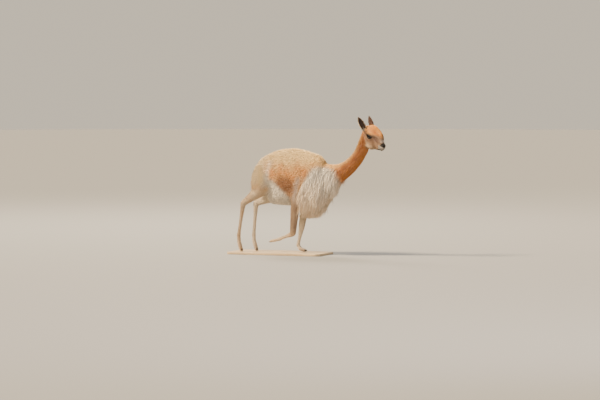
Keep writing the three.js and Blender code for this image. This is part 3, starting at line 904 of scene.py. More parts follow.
    def refine_head(self, mesh: Mesh, part: Array) -> Array:
        """Makes the head's mesh finer, and finest round eyes, nose and mouth.

        Args:
            mesh: The skin.
            part: The part of each vertex.

        Returns:
            The part of each vertex of the finer mesh.
        """
        bm = bmesh.new()
        bm.from_mesh(mesh)
        layer = bm.verts.layers.int.new("part")
        for vert, label in zip(bm.verts, part):
            vert[layer] = int(label)
        head = self.part_names.index("head")
        for fine in (False, True):
            bm.verts.index_update()
            chosen = []
            for vert in bm.verts:
                if vert[layer] != head:
                    continue
                f, s, u = in_head(np.array([vert.co]))[0]
                at_eye = abs(s) > self.eye_side and math.hypot(f - EYE.forward, u - EYE.up) < self.eye_reach
                if not fine or at_eye or f > self.muzzle_from:
                    chosen.append(vert)
            picked = set(chosen)
            faces = [f for f in bm.faces if all(v in picked for v in f.verts)]
            edges = list({e for f in faces for e in f.edges})
            made = bmesh.ops.subdivide_edges(bm, edges=edges, cuts=1, use_grid_fill=True)
            inner = made["geom_inner"]
            new = [item for item in inner if isinstance(item, BMVert) and item.is_valid]
            for vert in new:
                vert[layer] = head
            relaxed = new + [vert for vert in chosen if vert.is_valid]
            relax(bm, relaxed, 0.5)
        bmesh.ops.triangulate(bm, faces=[f for f in bm.faces if len(f.verts) > 4])
        bm.verts.index_update()
        labels = np.array([vert[layer] for vert in bm.verts])
        bm.verts.layers.int.remove(layer)
        bm.to_mesh(mesh)
        bm.free()
        return labels

    def carve(self, mesh: Mesh, part: Array) -> None:
        """Draws the skin in by the coat's depth, then shapes muscles and face."""
        web = Web(mesh)
        co, normal = coordinates(mesh), vertex_normals(mesh)
        depth = np.array([COAT_SIZES[region].depth for region in self.part_regions])[part]
        depth = web.smoothed(depth, self.depth_rounds)
        for at, size, by in BODY_SWELLS:
            depth -= by * oval(in_animal(co), at, size)
        co -= normal * (depth * MM)[:, None]
        set_coordinates(mesh, co)
        head = part == self.part_names.index("head")
        out = vertex_normals(mesh)[head] @ HEAD_TURN
        co[head] = from_head(face_shaped(in_head(co[head]), out))
        set_coordinates(mesh, co)


# Colours of the coat, as sRGB hex.
PALETTE: dict[str, str] = {
    # Partly painted sunlight: the cream on top of the back, over sun-bleached fleece.
    "back": "#FADA9C",
    "flank": "#DC964C",
    "flank_shadow": "#935F38",
    "rump": "#FBE2B6",
    "white": "#FCF1DE",
    "bib_shade": "#E2BF94",
    "neck": "#D58538",
    "neck_back": "#F2C078",
    "neck_shade_band": "#84401F",
    "crown": "#E49A3C",
    "crown_red": "#BF6426",
    "brow": "#33211A",
    "face": "#79574A",
    "cheek": "#A07C5E",
    "crown_light": "#FFC676",
    "jaw": "#DFC09B",
    "arm_rim_light": "#DCC8BA",
    "thigh_pale": "#FFF4E4",
    "nose_spot": "#F2DCC8",
    "nose": "#1B1412",
    "lip": "#B3AAA1",
    "chin": "#5A4940",
    "ear_back": "#52301F",
    "ear_inside": "#2C1E19",
    "ear_rim": "#D8C3A6",
    "ear_hair": "#E6D6BE",
    "ear_tip": "#4A2E22",
    "iris": "#2A1710",
    "pupil": "#070505",
    # Painted shade for the forearm's outer side.
    "forearm": "#A27F68",
    "leg": "#D9B488",
    "leg_pale": "#F6E6CC",
    "tail": "#D39A5C",
    "lid": "#150E0C",
}
COLOURS = {name: np.array(linear(code)[:3]) for name, code in PALETTE.items()}


# Soft oval spots of the head, in the order they are laid: a colour, then for each of its spots the strength,
# the middle and reach in millimetres of the head's frame, and how sharply it ends.
HEAD_SPOTS = (
    ("crown_red", (0.8, (24, 30, 46), (40, 24, 12), 2)),
    ("crown_light", (0.6, (-16, 30, 30), (18, 26, 12), 2), (0.5, (40, 12, 52), (26, 16, 14), 2)),
    ("face", (0.95, (52, 32, 2), (34, 30, 20), 2.6)),
    ("face", (0.55, (16, 52, -32), (30, 20, 13), 2)),
    ("brow", (0.9, (4, 52, 9), (34, 18, 7), 2)),
    ("brow", (0.7, (44, 36, 16), (30, 16, 7), 2)),
    ("brow", (0.6, (-40, 50, 0), (20, 16, 8), 2)),
    ("brow", (0.5, (84, 24, -8), (10, 10, 12), 2)),
    ("ear_back", (0.85, (-48, 52, 12), (18, 22, 17), 2)),
)


class Markings:
    """The coat's colours by place, the same for skin and hair.

    Places are in millimetres, of the animal or of the head's frame. Where a colour gives way to the next, it
    eases from one place to another.
    """

    outer_from = 60

    def __init__(self, skin: Skin) -> None:
        """Keeps the skin's names of parts."""
        self.names = skin.part_names

    @staticmethod
    def laid(base: Array, *layers: tuple[str, Array]) -> Array:
        """Named colours laid over base colours in turn, each by a share for each point."""
        for name, share in layers:
            base = mix(base, COLOURS[name][None], np.clip(share, 0, 1))
        return base

    def body(self, p: Array, noise: Array) -> Array:
        """Trunk, from golden back, partly painted sunlight, to orange flank with a painted brown shadow low on
        it, and white belly.
        """
        x, _, z = p.T
        streak = ripple(p * (0.45, 1.0, 1.3) * MM, 24, 9)
        colour = np.tile(COLOURS["flank"], (len(p), 1))
        # The back's cream over the flank: sun-bleached fleece with painted sunlight on top; streaks of it vary
        # the tone.
        colour = self.laid(
            colour,
            ("back", ease(640, 745, z + 26 * noise)),
            ("back", 0.6 * ease(0.05, 0.6, 0.5 * noise + 0.7 * streak)),
            ("flank", 0.4 * ease(0.1, 0.7, -streak) * ease(800, 700, z)),
        )
        # Painted shadow: a dark brown patch low on the flank, where the side lies in shade.
        patch = (x / 92) ** 2 + ((z - 545) / 70) ** 2 + 0.35 * noise
        colour = self.laid(
            colour,
            ("flank_shadow", 0.9 * ease(1.3, 0.55, patch)),
            ("rump", ease(-130, -215, x + 14 * noise)),
        )
        line = np.clip(577 - 0.93 * (x + 93), 428, 585)
        colour = self.laid(colour, ("white", ease(-14, 18, line - z + 8 * noise)))
        return self.strips(colour, p, noise)

    def strips(self, colour: Array, p: Array, noise: Array) -> Array:
        """Painted highlights: pale streaks of rim light down the front of the thigh and the back of the upper
        arm, and a painted shadow behind the arm's streak.
        """
        x, y, z = p.T
        ragged = ripple(p * (1.0, 1.0, 0.4) * MM, 16, 12)
        outer = np.abs(y) > self.outer_from
        # Painted highlight: a pale streak of rim light down the front of the thigh.
        thigh = hump(x + 116 + (728 - z) * 0.3 + 12 * noise + 7 * ragged, 21, 3)
        thigh *= ease(470, 560, z) * ease(756, 700, z) * (0.8 + 0.3 * ragged)
        # Painted highlight: a pale grey streak of rim light down the back of the upper arm, with a painted band
        # of shadow just behind it.
        off_arm = x - 98 - (z - 500) * 0.32 + 4 * ragged
        arm = hump(off_arm + 5 * noise, 17, 4) * ease(400, 450, z) * ease(625, 585, z)
        behind = hump(off_arm + 40, 14) * ease(400, 450, z) * ease(600, 560, z)
        return self.laid(
            colour,
            ("thigh_pale", 0.85 * thigh * outer),
            ("flank_shadow", 0.45 * behind * outer),
            ("arm_rim_light", 0.9 * arm * outer),
        )

    def white_front(self, colour: Array, p: Array, noise: Array) -> Array:
        """The white of shoulder and breast, up to the root of the neck, with painted shade below."""
        x, _, z = p.T
        behind = np.where(z > 652, 227 + (z - 652) * 0.6, shoulder_edge(z, 0.82, SHOULDER_X, 227))
        front = np.clip(372 + (664 - z) * 1.6, 330, 446)
        white = ease(-14, 10, x - behind + 8 * noise) * ease(706, 672, z + 10 * noise)
        white *= ease(14, -18, x - front + 10 * noise + 9 * ripple(p * (0.5, 1.6, 0.5) * MM, 14, 13))
        # Painted shade on the lower breast hair.
        return self.laid(
            colour,
            ("white", white),
            ("bib_shade", 0.55 * white * ease(650, 540, z + 20 * noise)),
        )

    def breast(self, p: Array, noise: Array) -> Array:
        """White breast and shoulder hair, under withers lit with painted rim light."""
        colour = self.body(p, noise)
        # Painted rim light along the top of the withers.
        withers = ease(300, 380, p[:, 0]) * ease(640, 680, p[:, 2])
        colour = self.laid(colour, ("neck_back", 0.6 * withers))
        return self.white_front(colour, p, noise)

    def neck(self, p: Array, noise: Array) -> Array:
        """Cinnamon neck, with painted rim light along its back edge and a painted band of shade along its side.
        """
        shares, rows, ahead = neck_line()
        nearest = np.linalg.norm(p[:, None] - rows[None, :, :3], axis=2).argmin(1)
        side = unit(np.array([0.0, 1.0, 0.0]) - ahead * ahead[:, 1:2])
        upper = np.cross(ahead, side)[nearest]
        rise = ((p - rows[nearest, :3]) * upper).sum(1) / rows[nearest, 4] + 0.1 * noise
        colour = np.tile(COLOURS["neck"], (len(p), 1))
        nape = 1 - 0.7 * ease(0.82, 0.98, shares[nearest])
        # Painted light: rim light down the neck's back edge, fading toward the head, and a dark band of painted
        # shade where the lit back meets the shaded front.
        colour = self.laid(
            colour,
            ("neck_back", ease(0.25, 0.7, rise) * nape),
            ("neck_shade_band", 0.8 * hump(rise + 0.02 + 0.08 * noise, 0.2)),
        )
        colour = self.white_front(colour, p, noise)
        throat = ease(0.8, 0.97, shares[nearest]) * ease(-0.3, -0.8, rise)
        return self.laid(colour, ("jaw", 0.8 * throat))

    def head(self, h: Array, noise: Array) -> Array:
        """Orange crown, dark brow and muzzle, grey-brown cheek, pale jaw."""
        f, s, u = h[:, 0], np.abs(h[:, 1]), h[:, 2]
        n = 3 * noise
        colour = np.tile(COLOURS["cheek"], (len(h), 1))
        colour = self.laid(
            colour,
            ("jaw", 0.85 * ease(-46, -84, u + n + 0.12 * f)),
            ("jaw", 0.6 * ease(-58, -84, f + n) * ease(0, -30, u)),
            ("crown", ease(6, 20, u + n - 0.34 * (f + 20))),
            ("crown", 0.75 * ease(-52, -70, f + n) * ease(-40, -10, u)),
        )
        for name, *spots in HEAD_SPOTS:
            share = sum(strength * oval(h, at, size, power) for strength, at, size, power in spots)
            colour = self.laid(colour, (name, share))
        bridge = hump(s, 15) * ease(92, 76, f + n) * ease(10, 40, f)
        colour = self.laid(
            colour,
            ("crown", 0.8 * bridge),
            ("nose_spot", oval(h, (92, 0, 4), (20, 20, 14), 2.6)),
        )
        return self.muzzle_and_lids(colour, h, n)

    def muzzle_and_lids(self, colour: Array, h: Array, n: Array) -> Array:
        """Pale lips, black nose, mouth line, dark chin and black lids.

        Args:
            colour: The head's colours so far.
            h: Points in the head's frame.
            n: How far the noise moves an edge, in millimetres.

        Returns:
            The head's colours.
        """
        f, s, u = h[:, 0], np.abs(h[:, 1]), h[:, 2]
        muzzle = ease(90, 104, f + n)
        colour = self.laid(colour, ("lip", muzzle * ease(-18, -28, u)))
        dark = ease(101, 110, f + n - 0.25 * (u + 16)) * ease(-31, -23, u) * ease(3, -4, u)
        colour = self.laid(
            colour,
            ("nose", dark),
            ("nose", 0.85 * hump(u - MOUTH.line(f), 1.8) * ease(84, 92, f)),
            ("nose", hump(s, 1.6) * ease(126, 130, f) * ease(-43, -39, u)),
            ("chin", 0.85 * muzzle * ease(-50, -58, u)),
        )
        share, ahead, above = EYE.around(h)
        rim = np.hypot(ahead / (EYE.half_length * 1.35), (above - 2) / (EYE.half_height * 1.35))
        side = ease(EYE.innermost, 28, s)
        return self.laid(
            colour,
            ("brow", 0.85 * ease(1.25, 0.95, rim) * side),
            ("lid", ease(1.34, 1.12, share) * side),
        )

    def thigh(self, p: Array, noise: Array) -> Array:
        """Golden thigh, paler behind, fawn toward the knee, white inside."""
        x, y, z = p.T
        # The thigh starts from the back's cream, which is partly painted sunlight.
        colour = np.tile(COLOURS["back"], (len(p), 1))
        colour = self.laid(
            colour,
            ("rump", ease(-190, -260, x + 12 * noise)),
            ("flank", 0.5 * ease(570, 520, z + 14 * noise) * ease(440, 510, z)),
            ("leg", ease(500, 440, z + 14 * noise)),
        )
        front = ease(-172, -128, x + 0.25 * (z - 520) + 10 * noise)
        colour = self.strips(self.laid(colour, ("leg_pale", 0.9 * front)), p, noise)
        return self.laid(colour, ("white", ease(0, -24, self.outward(y))))

    def upper_arm(self, p: Array, noise: Array) -> Array:
        """The body's colours, fading to fawn toward the knee and to the grey of the painted rim light, white in
        front.
        """
        x, y, z = p.T
        # The pale grey of the painted rim light, laid over the lower arm toward the elbow.
        colour = self.laid(
            self.body(p, noise),
            ("leg", ease(560, 470, z + 12 * noise)),
            ("arm_rim_light", 0.6 * ease(470, 400, z + 12 * noise)),
        )
        colour = self.strips(colour, p, noise)
        return self.laid(
            colour,
            ("white", 0.8 * ease(150, 205, x + 0.4 * (z - 560) + 10 * noise)),
            ("leg_pale", ease(0, -24, self.outward(y))),
        )

    def lower_leg(self, p: Array, noise: Array, name: str) -> Array:
        """Pale fawn legs, whitest inside and behind, with painted shade darkest on the outer side of the
        forearm.
        """
        _, y, z = p.T
        outer = self.outward(y)
        colour = np.tile(COLOURS["leg"], (len(p), 1))
        colour = self.laid(
            colour,
            ("leg_pale", 0.85 * ease(6, -12, outer + 4 * noise)),
            ("leg_pale", 0.35 + 0.25 * noise),
        )
        if name.endswith("shank"):
            return self.laid(colour, ("rump", 0.5 * ease(440, 500, z + 10 * noise)))
        if name.endswith("forearm"):
            # Painted shade on the outer side of the forearm.
            dark = (0.6 + 0.3 * noise) * ease(-30, 6, outer) * ease(60, 200, z)
            return self.laid(colour, ("forearm", dark))
        if name.endswith("foot"):
            return self.laid(colour, ("flank", 0.25 * ease(50, 10, z)))
        return colour

    @staticmethod
    def outward(y: Array) -> Array:
        """How far outside a leg's middle its points lie."""
        leg_middle = 66
        return np.abs(y) - leg_middle

    def tail(self, p: Array, noise: Array) -> Array:
        """Cinnamon tail, white underneath."""
        colour = np.tile(COLOURS["tail"], (len(p), 1))
        return self.laid(colour, ("white", ease(-302, -290, p[:, 0] + 4 * noise)))

    def colours(self, co: Array, part: Array) -> Array:
        """The coat's colour at each point.

        Args:
            co: Points in the scene.
            part: The part each belongs to.

        Returns:
            Linear RGB rows.
        """
        noise = 0.6 * ripple(co, 90, 3) + 0.4 * ripple(co, 28, 4)
        colour = np.zeros((len(co), 3))
        dress = {
            "torso": self.body, "breast": self.breast, "neck": self.neck, "head": self.head,
            "tail": self.tail, "thigh": self.thigh, "upper_arm": self.upper_arm,
        }
        for label, name in enumerate(self.names):
            here = part == label
            points = in_head(co[here]) if name == "head" else in_animal(co[here])
            named = next((word for word in dress if name.endswith(word)), None)
            if named:
                colour[here] = dress[named](points, noise[here])
            else:
                colour[here] = self.lower_leg(points, noise[here], name)
        return colour


def put(node: Node, **inputs: object) -> None:
    """Sets or links a node's sockets.

    Args:
        node: The node.
        inputs: Values, or sockets to link, by socket name with underscores for spaces, or by _ and a number.
    """
    for name, value in inputs.items():
        socket = node.inputs[int(name[1:])] if name[0] == "_" else node.inputs[name.replace("_", " ")]
        if isinstance(value, NodeSocket):
            node.id_data.links.new(value, socket)
        else:
            socket.default_value = value


def add(
    tree: NodeTree, kind: str, settings: dict[str, object] | None = None, **inputs: object
) -> Node:
    """Adds a node.

    Args:
        tree: The node tree.
        kind: The node's type.
        settings: Its own properties.
        inputs: Its sockets, as put takes them.

    Returns:
        The node.
    """
    node = tree.nodes.new(kind)
    for name, value in (settings or {}).items():
        setattr(node, name, value)
    put(node, **inputs)
    return node


def blank(name: str) -> tuple[Material, NodeTree, Node, NodeSocket]:
    """A new material with its tree, its shader and its object coordinates."""
    material = bpy.data.materials.new(name)
    material.use_nodes = True
    tree = material.node_tree
    return material, tree, tree.nodes["Principled BSDF"], add(tree, "ShaderNodeTexCoord").outputs["Object"]


def marked(tree: NodeTree, *factors: NodeSocket) -> NodeSocket:
    """The marking painted on the vertices, made lighter or darker by the product of two or three factors."""
    product = factors[0]
    for factor in factors[1:]:
        product = add(tree, "ShaderNodeMath", {"operation": "MULTIPLY"}, _0=product, _1=factor).outputs[0]
    marking = add(tree, "ShaderNodeAttribute", {"attribute_name": "Markings"}).outputs["Color"]
    return add(tree, "ShaderNodeVectorMath", {"operation": "SCALE"}, Vector=marking, Scale=product).outputs[0]


def blend(tree: NodeTree, share: NodeSocket, first: str, second: str) -> NodeSocket:
    """Two sRGB hex colours, mixed by a share."""
    ends = {"_6": linear(first), "_7": linear(second)}
    return add(tree, "ShaderNodeMix", {"data_type": "RGBA"}, _0=share, **ends).outputs[2]


def per_metre(size_mm: float) -> float:
    """The scale of a pattern whose features are a size in millimetres."""
    return 1 / (size_mm * MM)


@dataclass(frozen=True)
class HairFinish:
    """Wool and hair: matt, with a little sheen at grazing angles, and painted shade that makes its roots darker
    than its tips.

    Locks differ in shade, and clumps a few millimetres wide make a soft cloud over them.
    """

    name: str
    roughness: float = 0.78
    sheen: float = 0.18
    sheen_roughness: float = 0.45
    gloss: float = 0.22
    # Painted shade along each hair: darkest at the root, lightest at the tip.
    along: Pair = (0.42, 1.12)
    lock: Pair = (0.8, 1.16)
    cloud: Pair = (0.84, 1.16)
    clump_mm: float = 9.0

    def build(self) -> Material:
        """Makes the material: the marking, with painted shade by place along the hair, and tone varied by lock
        and by clump.
        """
        material, tree, shader, at = blank(self.name)
        along = add(tree, "ShaderNodeAttribute", {"attribute_name": "along"}).outputs["Fac"]
        strand = add(tree, "ShaderNodeAttribute", {"attribute_name": "strand"}).outputs["Fac"]
        clump = add(tree, "ShaderNodeTexNoise", Vector=at, Scale=per_metre(self.clump_mm), Detail=3.0)
        factors = [
            add(tree, "ShaderNodeMapRange", Value=value, To_Min=low, To_Max=high).outputs[0]
            for value, (low, high) in (
                (along, self.along), (strand, self.lock), (clump.outputs["Fac"], self.cloud),
            )
        ]
        put(shader, Base_Color=marked(tree, *factors), Roughness=self.roughness, Sheen_Weight=self.sheen)
        put(shader, Sheen_Roughness=self.sheen_roughness, Specular_IOR_Level=self.gloss)
        return material


@dataclass(frozen=True)
class HideFinish:
    """Skin under short fur: matt, with the fur's nap as fine streaks and a soft mottle, moister where bare.

    The nap is drawn coarser than real fur, which would be too fine to show.
    """

    name: str = "short_fur_on_hide"
    nap_mm: float = 2.2
    nap: Pair = (0.72, 1.2)
    nap_height_mm: float = 0.9
    nap_strength: float = 0.55
    mottle_mm: float = 14.0
    mottle: Pair = (0.82, 1.14)
    furred_roughness: float = 0.82
    bare_roughness: float = 0.38
    gloss: float = 0.3

    def build(self) -> Material:
        """Makes the material; its colour is the marking under a nap of small hairs."""
        material, tree, shader, at = blank(self.name)
        bare = add(tree, "ShaderNodeAttribute", {"attribute_name": "bare"}).outputs["Fac"]
        nap = add(tree, "ShaderNodeTexNoise", Vector=at, Scale=per_metre(self.nap_mm), Detail=4.0)
        mottle = add(tree, "ShaderNodeTexNoise", Vector=at, Scale=per_metre(self.mottle_mm), Detail=3.0)
        fine, broad, wet = (
            add(tree, "ShaderNodeMapRange", Value=value, To_Min=low, To_Max=high).outputs[0]
            for value, (low, high) in (
                (nap.outputs["Fac"], self.nap),
                (mottle.outputs["Fac"], self.mottle),
                (bare, (self.furred_roughness, self.bare_roughness)),
            )
        )
        relief = add(
            tree, "ShaderNodeBump", Strength=self.nap_strength, Distance=self.nap_height_mm * MM,
            Height=nap.outputs["Fac"],
        )
        put(shader, Base_Color=marked(tree, fine, broad), Roughness=wet, Normal=relief.outputs[0])
        put(shader, Specular_IOR_Level=self.gloss)
        return material


def paint(mesh: Mesh, colour: Array, **values: Array) -> None:
    """Writes the marking colours and any further values onto a mesh's vertices."""
    layer = mesh.color_attributes.new(name="Markings", type="FLOAT_COLOR", domain="POINT")
    rgba = np.column_stack([colour, np.ones(len(colour))])
    layer.data.foreach_set("color", rgba.ravel().astype(np.float32))
    for name, value in values.items():
        mesh.attributes.new(name, "FLOAT", "POINT").data.foreach_set("value", value.astype(np.float32))


UNWRAP_ANGLE, UNWRAP_MARGIN = math.radians(66), 0.001


def unwrap(subject: Object) -> Array:
    """Unwraps the skin's own shape into the map OFBake.

    Args:
        subject: The skin.

    Returns:
        One UV row for each corner of the mesh.
    """
    mesh = subject.data
    mesh.uv_layers.new(name="OFBake")
    bpy.context.view_layer.objects.active = subject
    subject.select_set(True)
    bpy.ops.object.mode_set(mode="EDIT")
    bpy.ops.mesh.select_all(action="SELECT")
    bpy.ops.uv.smart_project(angle_limit=UNWRAP_ANGLE, island_margin=UNWRAP_MARGIN)
    bpy.ops.object.mode_set(mode="OBJECT")
    subject.select_set(False)
    uv = np.empty(len(mesh.loops) * 2, np.float32)
    mesh.uv_layers["OFBake"].data.foreach_get("uv", uv)
    return uv.reshape(-1, 2)


@dataclass
class Roots:
    """Where tufts grow: places on the skin with what is known there."""

    co: Array
    normal: Array
    lie: Array
    colour: Array
    uv: Array
    weights: Array

    def sized(self, name: str) -> Array:
        """A coat size at each root, in millimetres where it is a length."""
        return blended_size(self.weights, name)


class Scalp:
    """The skin as a bed for hair: picks roots and finds the nearest skin."""

    def __init__(self, subject: Object, known: SkinMap, colour: Array, uv: Array) -> None:
        """Reads the skin's triangles."""
        mesh = subject.data
        mesh.calc_loop_triangles()
        count = len(mesh.loop_triangles)
        corners, loops = np.empty(count * 3, np.int32), np.empty(count * 3, np.int32)
        mesh.loop_triangles.foreach_get("vertices", corners)
        mesh.loop_triangles.foreach_get("loops", loops)
        self.corners, self.loops = corners.reshape(-1, 3), loops.reshape(-1, 3)
        self.known, self.colour, self.uv = known, colour, uv
        a, b, c = (known.co[self.corners[:, i]] for i in range(3))
        self.area = np.linalg.norm(np.cross(b - a, c - a), axis=1) / 2
        self.middle = (a + b + c) / 3
        self.weights = known.weights[self.corners].mean(1)
        self.part = known.part[self.corners[:, 0]]
        self.tree = BVHTree.FromPolygons(known.co.tolist(), self.corners.tolist())

    def roots(self, density: Array, seed: int) -> Roots:
        """Picks roots evenly over the skin.

        Args:
            density: Roots for each square metre, one value a triangle.
            seed: Picks the places.

        Returns:
            The roots, in a random order.
        """
        random = np.random.default_rng(seed)
        heap = np.cumsum(self.area * density)
        count = int(heap[-1])
        at = (np.arange(count) + random.uniform(0, 1, count)) * heap[-1] / count
        pick = np.minimum(np.searchsorted(heap, at), len(heap) - 1)
        u, v = random.uniform(size=(2, count))
        u, v = np.where(u + v > 1, 1 - u, u), np.where(u + v > 1, 1 - v, v)
        shares = np.column_stack([1 - u - v, u, v])[:, :, None]
        corner = self.corners[pick]
        order = random.permutation(count)

        def blended(values: Array, at: Array = corner) -> Array:
            """Values of the triangle's corners, blended at each root."""
            return (values[at] * shares).sum(1)[order]

        known = self.known
        return Roots(
            blended(known.co),
            unit(blended(known.normal)),
            unit(blended(known.lie)),
            blended(self.colour),
            blended(self.uv, self.loops[pick]),
            blended(known.weights),
        )

    def clear_of_skin(self, points: Array, height: Array) -> Array:
        """Lifts points that are nearer to the skin than a height, or under it."""
        lifted = points.copy()
        for i, point in enumerate(points):
            hit, normal, _, _ = self.tree.find_nearest(Vector(point))
            above = (Vector(point) - hit).dot(normal)
            if above < height[i]:
                lifted[i] += np.array(normal) * (height[i] - above)
        return lifted


class Seed(IntEnum):
    """Where each kind of random draw starts; layers and sides of the animal count on from it."""

    FLEECE_ROOTS = 11
    FLEECE_PATHS = 12
    FLEECE_SHADES = 13
    LOCK_ROOTS = 31
    LOCK_LENGTHS = 41
    LOCK_PATHS = 51
    LOCK_SHADES = 61
    EAR_ROOTS = 71
    EAR_PATHS = 73
    EAR_SHADES = 75
    EAR_HAIR_ROOTS = 77
    EAR_HAIR_PATHS = 79
    EAR_HAIR_SHADES = 83
    EAR_HAIR_COLOURS = 85
    LASHES = 91
    LASH_SHADES = 95


# Added to a density, so that its running sum always rises.
LEAST_DENSITY = 1e-9


class Tuft:
    """The shape that every tuft of a kind repeats: a closed cone, flattened and cut across."""

    widest_at = 0.3
    taper = 1.6
    root_width = 0.6

    def __init__(self, cuts: Sequence[float], sides: int = 3) -> None:
        """Makes the cone with a ring of vertices at each cut, a share of its length."""
        bm = bmesh.new()
        lift = Matrix.Translation((0, 0, 0.5))
        bmesh.ops.create_cone(
            bm, cap_ends=True, cap_tris=True, segments=sides, radius1=1, radius2=0, depth=1, matrix=lift
        )
        bmesh.ops.remove_doubles(bm, verts=bm.verts, dist=1e-5)
        centre = [v for v in bm.verts if abs(v.co.z) < 1e-6 and v.co.xy.length < 1e-3]
        bmesh.ops.dissolve_verts(bm, verts=centre)
        for cut in cuts:
            everything = bm.verts[:] + bm.edges[:] + bm.faces[:]
            bmesh.ops.bisect_plane(bm, geom=everything, plane_co=(0, 0, cut), plane_no=(0, 0, 1))
        bmesh.ops.triangulate(bm, faces=bm.faces)
        bmesh.ops.recalc_face_normals(bm, faces=bm.faces)
        bm.verts.index_update()
        co = np.array([v.co for v in bm.verts])
        self.faces = np.array([[v.index for v in f.verts] for f in bm.faces], np.int32)
        bm.free()
        self.along = co[:, 2]
        self.ring = co[:, :2] / np.maximum(1 - co[:, 2:3], 1e-3) * (co[:, 2:3] < 0.999)

    def width(self) -> Array:
        """Share of the full width at each vertex, from the root to the widest part and down to the tip."""
        t, widest = self.along, self.widest_at
        swelling = self.root_width + (1 - self.root_width) * t / widest
        return np.where(t < widest, swelling, 1 - ((t - widest) / (1 - widest)) ** self.taper)

    def steps(self) -> Array:
        """The shares along a tuft where its path is worked out."""
        return np.unique(np.round(self.along, 5))


